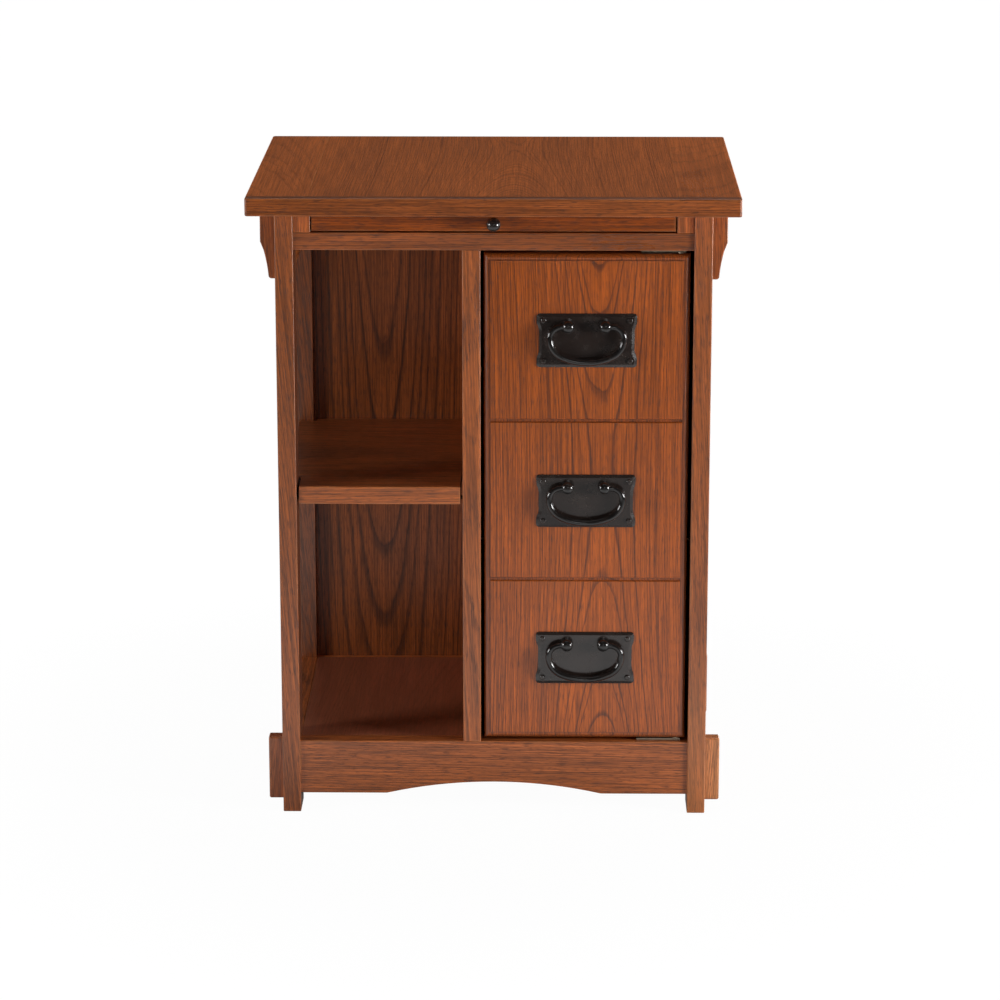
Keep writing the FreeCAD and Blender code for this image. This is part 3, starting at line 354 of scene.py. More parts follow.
def oak_group():
    """Oak with growth lines, pores and fibres.

    Growth lines are levels of the distance to the pith, sqrt(x^2 + d^2), with d = y + depth + slope z + bow z^2,
    so that a flat board shows arches where d shrinks. Pores are noise drawn out along the grain.
    """
    w, given, leave = new_group("oak_figure", [
        ("Vector", "Vector", None), ("Ring", "Float", 0.005), ("Depth", "Float", 0.06), ("Slope", "Float", 0.0),
        ("Bow", "Float", 0.0), ("Wander", "Float", 0.004), ("Figure", "Float", 0.8), ("Open", "Float", 0.7),
        ("Fibre", "Float", 1.0),
        ("Late", "Color", None), ("Early", "Color", None), ("Pore", "Color", None),
    ], SURFACE)
    place = given["Vector"]
    drift = w.vector("SUBTRACT", w.noise(place, DRIFT, 2.0, out=1), NOISE_MIDDLE)
    drift = w.vector("SCALE", drift, None, None, given["Wander"])
    shiver = w.vector("SUBTRACT", w.noise(place, SHIVER, 2.0, out=1), NOISE_MIDDLE)
    shiver = w.vector("MULTIPLY", shiver, SHIVER_REACH)
    x, y, _ = w.parts(w.vector("ADD", w.vector("ADD", place, drift), shiver))
    z = w.parts(place)[2]
    bowed = w.math("MULTIPLY", w.math("MULTIPLY", z, z), given["Bow"])
    depth = w.math("ADD", w.math("ADD", y, given["Depth"]), w.math("MULTIPLY_ADD", z, given["Slope"], bowed))
    radius = w.math("SQRT", w.math("ADD", w.math("MULTIPLY", x, x), w.math("MULTIPLY", depth, depth)))
    count = w.math("DIVIDE", radius, given["Ring"])
    uneven = w.put("ShaderNodeTexNoise", None, w.math("MULTIPLY", count, 0.55), 1.0, 1.0, noise_dimensions="1D")
    count = w.math("MULTIPLY_ADD", uneven, 1.6, count)
    early = w.ramp(w.math("FRACT", count), GROWTH_LINE)
    strength = w.put("ShaderNodeTexWhiteNoise", None, w.math("FLOOR", count), noise_dimensions="1D")
    early = w.math("MULTIPLY", early, w.remap(strength, 0.0, 1.0, 0.4, 1.0, smooth=False))

    fine = w.remap(w.noise(place, FINE_PORES, 2.0), 0.52, 0.64)
    fine = w.math("MULTIPLY", fine, w.math("MULTIPLY_ADD", early, 0.45, 0.55))
    broad = w.remap(w.noise(place, BROAD_PORES, 2.0), 0.52, 0.70)
    broad = w.math("MULTIPLY", broad, w.math("MULTIPLY_ADD", early, 0.55, 0.40))
    pores = w.math("MULTIPLY", w.math("MAXIMUM", fine, broad), given["Open"])
    fibre = w.noise(place, FIBRES, 2.0)
    streak = w.noise(place, STREAKS, 1.0)
    cloud = w.noise(place, CLOUDS, 2.0)

    face = w.mix(w.math("MULTIPLY", early, given["Figure"]), given["Late"], given["Early"])
    tone = w.math("MULTIPLY", w.remap(fibre, 0.3, 0.7, 0.64, 1.36), w.remap(cloud, 0.25, 0.75, 0.88, 1.12))
    tone = w.math("MULTIPLY", tone, w.remap(streak, 0.3, 0.7, 0.90, 1.10))
    tone = w.math("MULTIPLY_ADD", w.math("SUBTRACT", tone, 1.0), given["Fibre"], 1.0)
    face = w.mix(1.0, face, w.put("ShaderNodeCombineColor", tone, tone, tone), "MULTIPLY")
    face = w.mix(w.math("MULTIPLY", pores, 0.95), face, given["Pore"])
    rough = w.math("ADD", w.math("MULTIPLY_ADD", pores, 0.16, 0.32), w.remap(cloud, 0.2, 0.8, -0.05, 0.05))
    height = w.math("SUBTRACT", w.math("MULTIPLY", fibre, 0.25), w.math("MULTIPLY_ADD", early, 0.2, pores))
    return close_group(w, leave, face, rough, height)


def edge_group():
    """Rubbed edges of a board: near one where the second nearest pair of its box's faces is close."""
    w, given, leave = new_group("worn_edges", [
        ("Vector", "Vector", None), ("Low", "Vector", None), ("High", "Vector", None), ("Width", "Float", 0.002),
    ], [("Mask", "Float")])
    x, y, z = w.parts(w.inset(given["Vector"], given["Low"], given["High"]))
    second = w.math("MAXIMUM", w.math("MINIMUM", x, y), w.math("MINIMUM", w.math("MAXIMUM", x, y), z))
    patch = w.noise(given["Vector"], 26.0, 3.0)
    reach = w.math("MULTIPLY", given["Width"], w.remap(patch, 0.35, 0.7, 0.35, 1.6))
    mask = w.put("ShaderNodeClamp", w.math("SUBTRACT", 1.0, w.math("DIVIDE", second, reach)), 0.0, 1.0)
    return close_group(w, leave, w.math("MULTIPLY", mask, w.remap(patch, 0.3, 0.62, 0.25, 0.75)))


def lacquer_group():
    """Black lacquer on cast metal: faint lumps and rubbed patches."""
    w, given, leave = new_group("black_lacquer", [
        ("Vector", "Vector", None), ("Black", "Color", None), ("Rubbed", "Color", None), ("Polish", "Float", 0.0),
    ], SURFACE)
    lumps = w.noise(given["Vector"], 420.0, 3.0)
    patch = w.noise(given["Vector"], 70.0, 4.0)
    face = w.mix(w.math("MULTIPLY", w.remap(patch, 0.48, 0.72), 0.6), given["Black"], given["Rubbed"])
    rough = w.math("ADD", w.remap(patch, 0.3, 0.7, 0.19, 0.29), w.remap(lumps, 0.2, 0.8, -0.03, 0.03))
    return close_group(w, leave, face, w.math("SUBTRACT", rough, given["Polish"]), lumps)


def steel_group():
    """Plain steel with rolling lines along X and a few dull spots."""
    w, given, leave = new_group("rolled_steel", [
        ("Vector", "Vector", None), ("Steel", "Color", None),
    ], SURFACE)
    lines = w.noise(given["Vector"], (60.0, 2600.0, 2600.0), 3.0)
    dull = w.remap(w.noise(given["Vector"], 240.0, 3.0), 0.55, 0.75)
    worn = w.mix(1.0, given["Steel"], (0.6, 0.58, 0.55, 1.0), "MULTIPLY")
    face = w.mix(w.math("MULTIPLY", dull, 0.45), given["Steel"], worn)
    rough = w.math("ADD", w.remap(lines, 0.3, 0.7, 0.26, 0.4), w.math("MULTIPLY", dull, 0.2))
    return close_group(w, leave, face, rough, lines)


GROUPS = {}


def shared_group(maker):
    """Node group that all materials share, made the first time it is asked for."""
    if maker.__name__ not in GROUPS:
        GROUPS[maker.__name__] = maker()
    return GROUPS[maker.__name__]


def new_material(name):
    """Material with its wires, its Principled shader and its Object coordinates."""
    made = bpy.data.materials.new(name)
    made.use_nodes = True
    wires = Wires(made.node_tree)
    return made, wires, made.node_tree.nodes["Principled BSDF"], wires.put("ShaderNodeTexCoord", out=3)


def use_group(wires, maker, **inputs):
    """Places a shared group in a material with its own values, and gives its outputs by name."""
    made = wires.tree.nodes.new("ShaderNodeGroup")
    made.node_tree = shared_group(maker)
    for label, value in inputs.items():
        wires.feed(made.inputs[label], value)
    return made.outputs


def finish_surface(wires, shader, face, rough, height, relief):
    """Links colour, roughness and relief to the shader."""
    bump = wires.tree.nodes.new("ShaderNodeBump")
    bump.inputs["Strength"].default_value = 1.0
    bump.inputs["Distance"].default_value = relief
    wires.feed(bump.inputs["Height"], height)
    wires.feed(shader.inputs["Base Color"], face)
    wires.feed(shader.inputs["Roughness"], rough)
    wires.feed(shader.inputs["Normal"], bump.outputs[0])


# Oak

@dataclass
class Board:
    """How one board is cut and stained.

    The grain runs along an axis. The pith lies at a depth under the board's middle, and its slope and bow along
    the grain make the arches. The offset picks another piece of the figure, lean turns it a little and aside
    moves it sideways.
    """

    grain: str
    depth: float = 0.13
    slope: float = 0.02
    bow: float = 0.0
    wander: float = 0.003
    figure: float = 0.75
    pores: float = 0.8
    tone: float = 1.0
    centre: tuple = None
    ring: float = 1.0
    offset: float = 0.0
    lean: float = 0.0
    aside: float = 0.0
    fibre: float = 1.0
    pale: float = 0.0


def board_vector(wires, place, board, middle):
    """Object coordinates moved to the middle of a board's figure and turned so that its grain runs along Z."""
    shifted = wires.vector("SUBTRACT", place, middle)
    tip, turn, roll = GRAIN_TURNS[board.grain]
    return wires.put("ShaderNodeMapping", shifted, (board.aside, 0.0, 0.0), (tip, turn + board.lean, roll),
                     vector_type="POINT")


def pale_end(wires, place, face, low, amount, pale):
    """Lightens a leg towards its lower end, mixing in the golden colour."""
    rise = wires.parts(wires.vector("SUBTRACT", place, tuple(low)))[2]
    return wires.mix(wires.remap(rise, 0.0, PALE_HEIGHT, amount, 0.0), face, rgba(pale))


def painted_inner_shade(wires, place, face, low, high, amount, dark):
    """Painted shade: darkens the side of a leg that faces the table's middle, behind its front edge."""
    x, y, _ = wires.parts(place)
    behind = wires.remap(wires.math("SUBTRACT", y, low.y), *INNER_SHADE_FRONT)
    inside = wires.math("SUBTRACT", wires.math("ABSOLUTE", x), min(abs(low.x), abs(high.x)))
    stain = wires.math("MULTIPLY", behind, wires.remap(inside, *INNER_SHADE_DEPTH))
    return wires.mix(wires.math("MULTIPLY", stain, amount), face, rgba(dark))


def painted_front_light(wires, place, face, low, amount):
    """Painted light: lightens the band along the front edge of a shelf."""
    back = wires.parts(wires.vector("SUBTRACT", place, tuple(low)))[1]
    light = wires.mix(1.0, face, rgba((amount,) * 3), "MULTIPLY")
    return wires.mix(wires.remap(back, *FRONT_LIGHT_DEPTH), face, light)


def groove_stain_and_shade(wires, place, face, low, high, amount, dark):
    """Darkens the door's grooves and the corner inside its moulded rim: stain and painted shade on the sunk
    grooves and rim, and painted shade in the rim's inner corner.
    """
    x, y, z = wires.parts(wires.inset(place, tuple(low), tuple(high)))
    rim = wires.math("MINIMUM", x, z)
    front = wires.remap(y, *GROOVE_FRONT)
    sunk = wires.math("MULTIPLY", wires.remap(y, *GROOVE_SUNK), front)
    corner = wires.math("MULTIPLY", wires.remap(rim, *RIM_SHADE_START), wires.remap(rim, *RIM_SHADE_END))
    stain = wires.math("MULTIPLY_ADD", corner, RIM_SHADE, wires.math("MULTIPLY", sunk, SUNK_STAIN_AND_SHADE))
    stain = wires.math("MULTIPLY", wires.math("MULTIPLY", stain, front), amount)
    return wires.mix(stain, face, rgba(dark))


def oak_material(node, board, settings, late=None, early=None, pore=None, wear=True, shine=0.75, groove=0.0,
                 band=1.0, seam=0.0):
    """Material of one board, cut as its Board says, with rubbed edges, and the stains, painted shade and painted
    light asked for.
    """
    low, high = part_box(node)
    oak = settings.oak
    made, wires, shader, place = new_material("oak_" + node)
    centre = board.centre or tuple((low + high) / 2)
    middle = tuple(c + board.offset * step for c, step in zip(centre, OFFSET_STEP))
    grain = use_group(
        wires, oak_group, Vector=board_vector(wires, place, board, middle), Ring=oak.ring * board.ring,
        Depth=board.depth, Slope=board.slope, Bow=board.bow, Wander=board.wander, Figure=board.figure,
        Open=board.pores, Fibre=board.fibre, Late=rgba(Vector(late or oak.late) * board.tone),
        Early=rgba(Vector(early or oak.early) * board.tone), Pore=rgba(Vector(pore or oak.pore) * board.tone),
    )
    face = grain["Color"]
    if wear:
        rubbed = use_group(wires, edge_group, Vector=place, Low=tuple(low), High=tuple(high), Width=oak.edge)
        face = wires.mix(rubbed["Mask"], face, rgba(Vector(oak.worn) * board.tone))
    if board.pale:
        face = pale_end(wires, place, face, low, board.pale, oak.golden)
    # Painted shade on the inner side of a leg.
    if seam:
        face = painted_inner_shade(wires, place, face, low, high, seam, oak.pore)
    # Painted light along the front edge of a shelf.
    if band != 1.0:
        face = painted_front_light(wires, place, face, low, band)
    # Stain and painted shade in the door's grooves and rim.
    if groove:
        face = groove_stain_and_shade(wires, place, face, low, high, groove, oak.pore)
    finish_surface(wires, shader, face, grain["Roughness"], grain["Height"], OAK_RELIEF)
    shader.inputs["Specular IOR Level"].default_value = shine
    return made


def dress(node, material):
    """Gives a CAD node one material."""
    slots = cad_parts[node].data.materials
    slots.clear()
    slots.append(material)


# New pieces

def grid_faces(rows, columns):
    """Quads of a grid whose columns close on themselves, as whole index arrays."""
    row, column = np.meshgrid(np.arange(rows - 1), np.arange(columns), indexing="ij")
    after = (column + 1) % columns
    here = row * columns
    quads = np.stack([here + column, here + after, here + columns + after, here + columns + column], -1)
    return quads.reshape(-1, 4)


def closed_grid(name, points, body):
    """Mesh of a grid closed round its columns, with an end face at its first and last row."""
    rows, columns = points.shape[:2]
    quads = grid_faces(rows, columns)
    ends = [list(range(columns))[::-1], [(rows - 1) * columns + i for i in range(columns)]]
    mesh = bpy.data.meshes.new(name)
    mesh.from_pydata(points.reshape(-1, 3).tolist(), [], quads.tolist() + ends)
    smooth = np.ones(len(mesh.polygons), bool)
    smooth[-2:] = False
    mesh.polygons.foreach_set("use_smooth", smooth)
    mesh.update()
    piece = bpy.data.objects.new(name, mesh)
    bpy.context.scene.collection.objects.link(piece)
    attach(piece, body)
    return piece


def bail_path(half, height, bail, steps):
    """Line of a bail in its own plane, from one end to the other.

    Straight ends, a shoulder of radius s, flanks of radius r that turn by an angle t and one bottom arc.
    With k = tan(45 - t/2), r = (height - k half) / (1 - k), so that the arcs meet without a corner.
    """
    shoulder, turn = bail.shoulder, bail.flank
    k = math.tan(math.pi / 4 - turn / 2)
    flank = (height - k * half) / (1 - k)
    offset = half - flank
    sag = offset * math.tan(turn) - shoulder
    bottom = flank + offset / math.cos(turn)
    ends = half - shoulder
    part = np.linspace(0.0, 1.0, steps)[:, None]

    def arc(u, w, radius, first, last):
        way = first + (last - first) * part
        return np.hstack([u + radius * np.cos(way), w - radius * np.sin(way)])

    quarter = math.pi / 2
    right = np.vstack([
        np.hstack([ends - bail.seat * (1 - part), 0 * part])[:-1],
        arc(ends, -shoulder, shoulder, -quarter, 0.0)[:-1],
        arc(offset, -shoulder, flank, 0.0, turn)[:-1],
        arc(0.0, sag, bottom, turn, quarter),
    ])
    return np.vstack([right, right[-2::-1] * (-1.0, 1.0)])


def bail_surface(node, bail, sides=28, steps=22):
    """Round wire along a bail's line.

    Its diameter grows from the ends to the grip by the square of the sine of half a turn times the share of the
    way.
    """
    low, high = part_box(node)
    half = (high.x - low.x - bail.wire) / 2
    height = high.z - low.z - bail.wire - bail.shoulder
    line = bail_path(half, height, bail, steps)
    run = np.gradient(line, axis=0)
    run /= np.linalg.norm(run, axis=1)[:, None]
    gone = np.concatenate([[0.0], np.cumsum(np.linalg.norm(np.diff(line, axis=0), axis=1))])
    radius = (bail.end + (bail.grip - bail.end) * np.sin(math.pi * gone / gone[-1]) ** 2) / 2
    turn = np.linspace(0.0, 2 * math.pi, sides, endpoint=False)
    across = np.stack([-run[:, 1], np.zeros(len(run)), run[:, 0]], -1)
    forward = np.array([0.0, -1.0, 0.0])
    middle = np.array([(low.x + high.x) / 2, (low.y + high.y) / 2, high.z - bail.wire / 2])
    spine = np.stack([line[:, 0], np.zeros(len(line)), line[:, 1]], -1) + middle
    ring = np.cos(turn)[None, :, None] * across[:, None] + np.sin(turn)[None, :, None] * forward
    return spine[:, None] + radius[:, None, None] * ring


# Materials of metal and plastic

def black_material(settings, name, black, polish, coat):
    """Gloss black lacquer of the pulls and the knob, more or less polished."""
    made, wires, shader, place = new_material(name)
    skin = use_group(wires, lacquer_group, Vector=place, Black=rgba(black), Rubbed=rgba(settings.metal.rubbed),
                     Polish=polish)
    finish_surface(wires, shader, skin["Color"], skin["Roughness"], skin["Height"], LACQUER_RELIEF)
    shader.inputs["Coat Weight"].default_value = coat
    shader.inputs["Coat Roughness"].default_value = 0.12
    return made


def steel_material(name, tint):
    """Rolled steel of the hinges and screws, or browned for the shelf pins."""
    made, wires, shader, place = new_material(name)
    skin = use_group(wires, steel_group, Vector=place, Steel=rgba(tint))
    finish_surface(wires, shader, skin["Color"], skin["Roughness"], skin["Height"], STEEL_RELIEF)
    shader.inputs["Metallic"].default_value = 1.0
    return made


def catch_material(settings):
    """Moulded brown plastic with a fine spark texture."""
    made, wires, shader, place = new_material("moulded_brown")
    spark = wires.noise(place, 1900.0, 2.0)
    brown = Vector(settings.metal.plastic)
    face = wires.mix(wires.noise(place, 130.0, 3.0), rgba(brown * 0.75), rgba(brown * 1.2))
    finish_surface(wires, shader, face, wires.remap(spark, 0.2, 0.8, 0.42, 0.58), spark, PLASTIC_RELIEF)
    return made


# Operators

class CABINET_OT_top(bpy.types.Operator):
    """Dresses the four boards of the table top"""

    bl_idname = "cabinet.top"
    bl_label = "Table top"

    def execute(self, context):
        settings = context.scene.cabinet_table
        end = {"figure": 0.3, "pores": 0.35, "aside": 0.06, "fibre": 0.6}
        boards = {
            "top_centre_panel": Board("Y", 0.05, 0.05, bow=-0.3, wander=0.010, figure=0.62, pores=0.4, tone=1.53,
                                      centre=(0.02, 0.03, 0.638), fibre=0.6),
            "top_end_left": Board("Y", 0.12, 0.03, tone=1.60, offset=0.3, **end),
            "top_end_right": Board("Y", 0.11, -0.03, tone=1.78, offset=0.7, **end),
            "top_front_lip": Board("X", 0.05, 0.015, figure=0.6, pores=1.0, tone=0.85, offset=0.2, lean=0.005,
                                   aside=0.08),
        }
        for node, board in boards.items():
            shine = 0.4 if node == "top_front_lip" else 0.2
            dress(node, oak_material(node, board, settings, shine=shine))
        return {"FINISHED"}


class CABINET_OT_frame(bpy.types.Operator):
    """Dresses the legs, rails, corbels and blocks"""

    bl_idname = "cabinet.frame"
    bl_label = "Frame"

    def execute(self, context):
        settings = context.scene.cabinet_table
        boards = {
            "front_rail": Board("X", 0.06, 0.012, figure=0.6, pores=1.0, tone=0.8, offset=0.5, lean=0.006,
                                aside=0.09),
            "front_apron": Board("X", 0.10, -0.01, figure=0.6, pores=1.0, offset=0.1, lean=-0.02, aside=0.12),
            "rear_top_rail": Board("X", 0.08, 0.02, offset=0.4),
            "rear_bottom_rail": Board("X", 0.09, -0.02, offset=0.8),
            "centre_divider": Board("Z", 0.05, 0.02, figure=0.35, offset=0.9, lean=0.04, aside=0.08),
        }
        for index, corner in enumerate(CORNERS):
            lean = 0.05 if corner.endswith("right") else 0.09
            boards["leg_" + corner] = Board(
                "Z", 0.05, 0.03, figure=0.5, pores=1.0, tone=LEG_TONES_AND_SHADE[corner], offset=0.37 * index, lean=lean,
                aside=0.07, pale=0.32 if corner == "front_right" else 0.0,
            )
            boards["corbel_" + corner] = Board(
                "Z", 0.05, 0.03, figure=0.5, offset=0.21 + 0.3 * index, lean=0.03, aside=0.06
            )
            boards["foot_block_" + corner] = Board(
                "Z", 0.05, -0.03, figure=0.5, offset=0.55 + 0.3 * index, lean=-lean, aside=0.06
            )
        for index, side in enumerate(SIDES):
            boards["side_top_rail_" + side] = Board("Y", 0.06, 0.02, offset=0.6 + index)
            boards["side_bottom_rail_" + side] = Board("Y", 0.07, -0.02, offset=0.85 + index)
            boards["tray_side_block_" + side] = Board("Z", 0.03, 0.02, tone=1.1, offset=0.15 + index)
        for node, board in boards.items():
            late = settings.oak.golden if node == "foot_block_front_right" else None
            # Legs get the painted shade on their inner side.
            seam = settings.oak.seam if node.startswith("leg_") else 0.0
            dress(node, oak_material(node, board, settings, late, seam=seam))
        return {"FINISHED"}


class CABINET_OT_panels(bpy.types.Operator):
    """Dresses the back, side and bottom panels and the shelves"""

    bl_idname = "cabinet.panels"
    bl_label = "Panels and shelves"

    def execute(self, context):
        settings = context.scene.cabinet_table
        boards = {
            "back_panel": Board("Z", 0.030, -0.07, wander=0.012, figure=1.0, pores=0.9, tone=0.58,
                                centre=(-0.122, 0.129, 0.40), ring=3.4),
            "side_panel_right": Board("Z", 0.05, 0.06, wander=0.008, figure=0.9),
            "bottom_panel": Board("Y", 0.05, 0.05, figure=0.25, pores=0.3, tone=0.65, offset=0.4, fibre=0.4),
            "open_shelf": Board("X", 0.05, 0.05, figure=0.5, pores=1.0, tone=0.8, offset=0.8, lean=0.01,
                                aside=0.08),
            "cabinet_shelf": Board("X", 0.05, 0.05, figure=0.7, tone=0.9, offset=0.2),
        }
        for node, board in boards.items():
            # Both shelves get the painted light along their front edge.
            band = settings.oak.band if "shelf" in node else 1.0
            shine = 0.4 if board.grain == "Z" else 0.75
            late = settings.oak.floor_late if node == "bottom_panel" else None
            dress(node, oak_material(node, board, settings, late, shine=shine, band=band))
        return {"FINISHED"}


class CABINET_OT_tray(bpy.types.Operator):
    """Dresses the pull-out tray"""

    bl_idname = "cabinet.tray"
    bl_label = "Pull-out tray"

    def execute(self, context):
        settings = context.scene.cabinet_table
        boards = {
            "tray_front": Board("X", 0.045, 0.02, figure=0.6, pores=1.0, tone=0.66, offset=0.65, lean=-0.005,
                                aside=0.07),
            "tray_panel": Board("X", 0.05, 0.06, figure=0.6, tone=0.95, offset=0.25),
        }
        for node, board in boards.items():
            late = settings.oak.door_late if node == "tray_front" else None
            dress(node, oak_material(node, board, settings, late, shine=0.4))
        return {"FINISHED"}


class CABINET_OT_door(bpy.types.Operator):
    """Dresses the door as one wide board with arched figure"""

    bl_idname = "cabinet.door"
    bl_label = "Door"

    def execute(self, context):
        settings = context.scene.cabinet_table
        low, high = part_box("door_panel")
        oak = settings.oak
        centre = ((low.x + high.x) / 2 + 0.016, low.y, 0.33)
        board = Board("Z", 0.050, 0.0, bow=-0.22, wander=0.012, figure=0.9, centre=centre, ring=1.6, lean=0.01,
                      fibre=0.9)
        dress("door_panel", oak_material("door_panel", board, settings, oak.door_late, oak.door_early,
                                         groove=oak.groove))
        return {"FINISHED"}


class CABINET_OT_inside(bpy.types.Operator):
    """Dresses the bare wood inside: dust panel, runners, stop and dowels"""

    bl_idname = "cabinet.inside"
    bl_label = "Bare wood inside"

    def execute(self, context):
        settings = context.scene.cabinet_table
        bare = settings.bare
        boards = {
            "dust_panel": Board("X", 0.06, 0.03, figure=0.5, pores=0.5, offset=0.3),
            "tray_runner_left": Board("Y", 0.06, 0.02, figure=0.6, pores=0.5, offset=0.1),
            "tray_runner_right": Board("Y", 0.06, 0.02, figure=0.6, pores=0.5, offset=0.9),
            "tray_stop": Board("X", 0.05, 0.02, figure=0.6, pores=0.5, offset=0.6),
            "joint_dowels": Board("Z", 0.05, 0.02, figure=0.5, pores=0.4, offset=0.2),
        }
        for node, board in boards.items():
            made = oak_material(node, board, settings, bare.late, bare.early, bare.pore, wear=False, shine=0.3)
            dress(node, made)
        return {"FINISHED"}


class CABINET_OT_pulls(bpy.types.Operator):
    """Dresses plates, posts, nails and knob in black and carries a wire along each bail"""

    bl_idname = "cabinet.pulls"
    bl_label = "Bail pulls and knob"

    def execute(self, context):
        settings = context.scene.cabinet_table
        metal = settings.metal
        plain = black_material(settings, "black_lacquer", metal.black, polish=0.0, coat=0.42)
        polished = black_material(settings, "polished_black", metal.polished, polish=0.11, coat=0.2)
        dress("handle_nails", plain)
        for node in ("handle_posts", "tray_knob"):
            dress(node, polished)
        for pull in PULLS:
            dress("handle_plate_" + pull, plain)
            node = "handle_bail_" + pull
            dress(node, polished)
            wire = bail_surface(node, settings.bail)
            piece = closed_grid("bail_wire_" + pull, wire, "bail_" + pull)
            piece.data.materials.append(polished)
            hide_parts(node)
        return {"FINISHED"}


class CABINET_OT_fittings(bpy.types.Operator):
    """Dresses the hinges, screws, pins and the catch"""

    bl_idname = "cabinet.fittings"
    bl_label = "Hinges, screws and catch"

    def execute(self, context):
        settings = context.scene.cabinet_table
        steel = steel_material("rolled_steel", settings.metal.steel)
        for node in ("pivot_plate_top", "pivot_plate_bottom", "door_leaf_top", "door_leaf_bottom", "catch_strike",
                     "door_screws", "frame_screws", "runner_screws", "tray_knob_stud"):
            dress(node, steel)
        dress("shelf_pins", steel_material("browned_steel", settings.metal.bronze))
        dress("magnet_catch", catch_material(settings))
        return {"FINISHED"}


# Stage

def seen_directly(wires):
    """Camera rays, and rays from mirrors and glass, neither of which is light on the object."""
    path = wires.tree.nodes.new("ShaderNodeLightPath").outputs
    return path["Is Camera Ray"], wires.math("MAXIMUM", path["Is Glossy Ray"], path["Is Transmission Ray"])


def floor_material(stage):
    """Pale floor that glows white where it is seen, over a little of its own light and shadow. Its glow is a
    little dimmer near the table, a painted shade, and mirrors see a painted pool of light round the table with a
    painted shadow under it.
    """
    made, wires, shader, place = new_material("pale_floor")
    tone = Vector(stage.floor)
    face = wires.mix(wires.noise(place, 3.0, 2.0), rgba(tone * 0.985), rgba(tone * 1.015))
    wires.feed(shader.inputs["Base Color"], face)
    shader.inputs["Roughness"].default_value = 0.9
    shader.inputs["Specular IOR Level"].default_value = 0.1
    camera_ray, mirror_ray = seen_directly(wires)
    away = wires.put("ShaderNodeVectorMath", place, operation="LENGTH", out=1)
    # Mirrors see a painted pool of light round the table and a painted shadow under it.
    sheet = wires.math("MULTIPLY", mirror_ray, wires.remap(away, *SHEET_PAINTED_POOL, smooth=False))
    sheet = wires.math("MULTIPLY", sheet, wires.remap(away, *SHEET_PAINTED_SHADOW))
    # The camera sees the glow a little dimmer near the table, a painted shade.
    shown = wires.math("MULTIPLY", camera_ray, wires.remap(away, *GLOW_WITH_PAINTED_SHADE))
    glow = wires.put("ShaderNodeEmission", None, wires.math("MAXIMUM", shown, sheet))
    seen = wires.math("MULTIPLY", wires.math("MAXIMUM", camera_ray, mirror_ray), FLOOR_GLOW)
    blend = wires.put("ShaderNodeMixShader", seen, shader.outputs[0], glow)
    wires.feed(wires.tree.nodes["Material Output"].inputs[0], blend)
    return made


def make_floor(scene, stage):
    """Wide flat floor under the table."""
    sides = ((-1, -1), (1, -1), (1, 1), (-1, 1))
    mesh = bpy.data.meshes.new("floor")
    mesh.from_pydata([(x * FLOOR_REACH, y * FLOOR_REACH, 0.0) for x, y in sides], [], [(0, 1, 2, 3)])
    floor = bpy.data.objects.new("floor", mesh)
    scene.collection.objects.link(floor)
    mesh.materials.append(floor_material(stage))


def make_studio(scene, stage):
    """Dim air all round, white where the camera sees it and where mirrors see it low down."""
    world = bpy.data.worlds.new("studio")
    world.use_nodes = True
    scene.world = world
    wires = Wires(world.node_tree)
    camera_ray, mirror_ray = seen_directly(wires)
    rise = wires.parts(wires.put("ShaderNodeTexCoord"))[2]
    sweep = wires.math("MULTIPLY", mirror_ray, wires.remap(rise, *SKY_RISE))
    sky = wires.mix(wires.math("MAXIMUM", camera_ray, sweep), rgba(stage.air), WHITE)
    wires.feed(world.node_tree.nodes["Background"].inputs[0], sky)


def make_lamp(scene, name, watts):
    """Soft rectangular lamp that points at the table."""
    width, height, place = LAMPS[name]
    data = bpy.data.lights.new(name, "AREA")
    data.shape = "RECTANGLE"
    data.energy = watts
    data.size = width
    data.size_y = height
    made = bpy.data.objects.new(name, data)
    made.location = place
    made.rotation_euler = (Vector(LAMP_TARGET) - Vector(place)).to_track_quat("-Z", "Y").to_euler()
    scene.collection.objects.link(made)


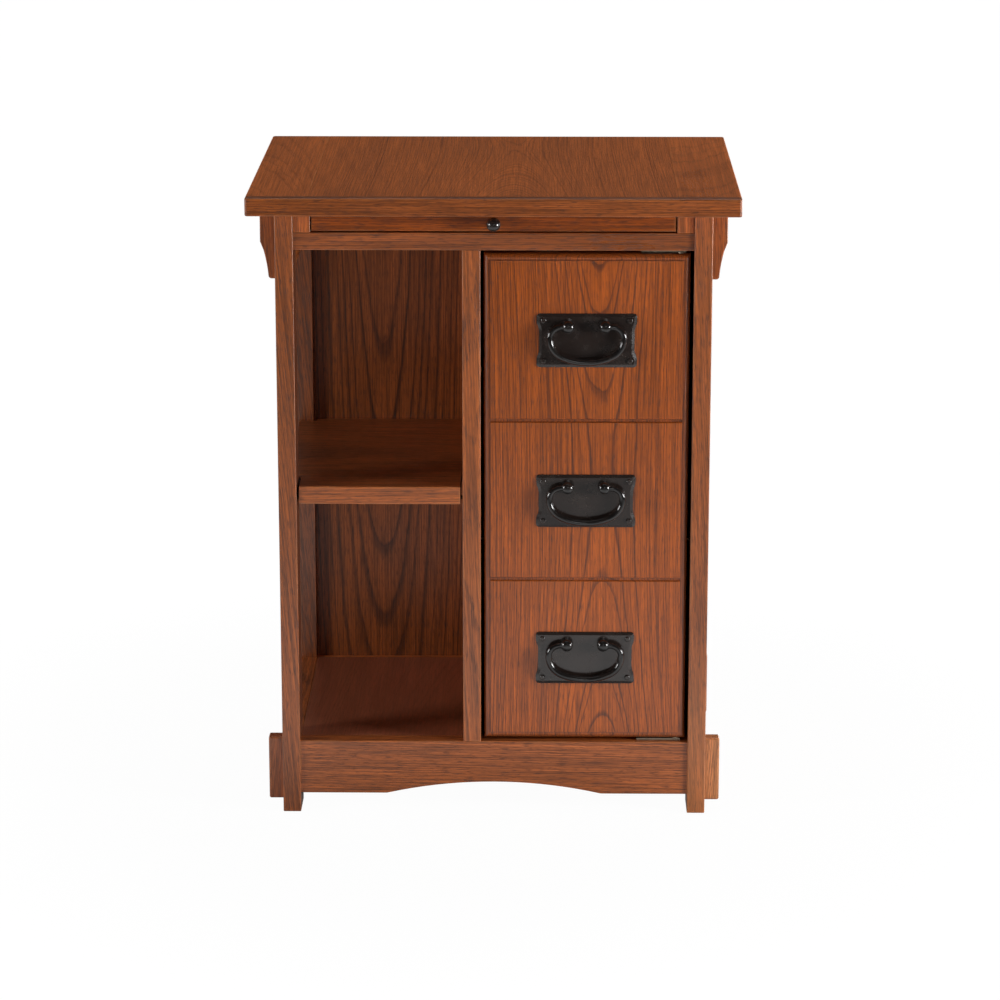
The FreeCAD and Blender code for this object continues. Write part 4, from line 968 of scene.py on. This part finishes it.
def make_camera(scene, stage):
    """Camera in front of the table, looking a little down."""
    lens = bpy.data.cameras.new("camera")
    lens.lens = stage.lens
    lens.sensor_width = SENSOR_WIDTH
    camera = bpy.data.objects.new("camera", lens)
    camera.location = stage.eye
    camera.rotation_euler = (math.pi / 2 - stage.tilt, 0.0, stage.swing)
    scene.collection.objects.link(camera)
    scene.camera = camera


class CABINET_OT_stage(bpy.types.Operator):
    """Makes the pale floor, the studio light and the camera"""

    bl_idname = "cabinet.stage"
    bl_label = "Floor, light and camera"

    def execute(self, context):
        scene = context.scene
        stage = scene.cabinet_table.stage
        scene.view_settings.view_transform = "Standard"
        make_floor(scene, stage)
        make_studio(scene, stage)
        for name in LAMPS:
            make_lamp(scene, name, getattr(stage, name))
        make_camera(scene, stage)
        return {"FINISHED"}


class CABINET_PT_sidebar(bpy.types.Panel):
    """Lists the steps that dress the cabinet table"""

    bl_idname = "CABINET_PT_sidebar"
    bl_label = "Cabinet table"
    bl_space_type = "VIEW_3D"
    bl_region_type = "UI"
    bl_category = "Cabinet table"

    def draw(self, context):
        for operator in OPERATORS:
            self.layout.operator(operator.bl_idname)


OPERATORS = (
    CABINET_OT_top, CABINET_OT_frame, CABINET_OT_panels, CABINET_OT_tray, CABINET_OT_door, CABINET_OT_inside,
    CABINET_OT_pulls, CABINET_OT_fittings, CABINET_OT_stage,
)
CLASSES = (
    OakSettings, BareWoodSettings, MetalSettings, BailSettings, StageSettings, TableSettings, *OPERATORS,
    CABINET_PT_sidebar,
)


def register():
    """Makes the settings, operators and panel known."""
    for made in CLASSES:
        bpy.utils.register_class(made)
    bpy.types.Scene.cabinet_table = PointerProperty(type=TableSettings)


def unregister():
    """Takes the settings, operators and panel away."""
    del bpy.types.Scene.cabinet_table
    for made in reversed(CLASSES):
        bpy.utils.unregister_class(made)


def main():
    """Dresses the whole table."""
    register()
    steps = bpy.ops.cabinet
    steps.top()
    steps.frame()
    steps.panels()
    steps.tray()
    steps.door()
    steps.inside()
    steps.pulls()
    steps.fittings()
    steps.stage()


if __name__ == "__main__":
    main()
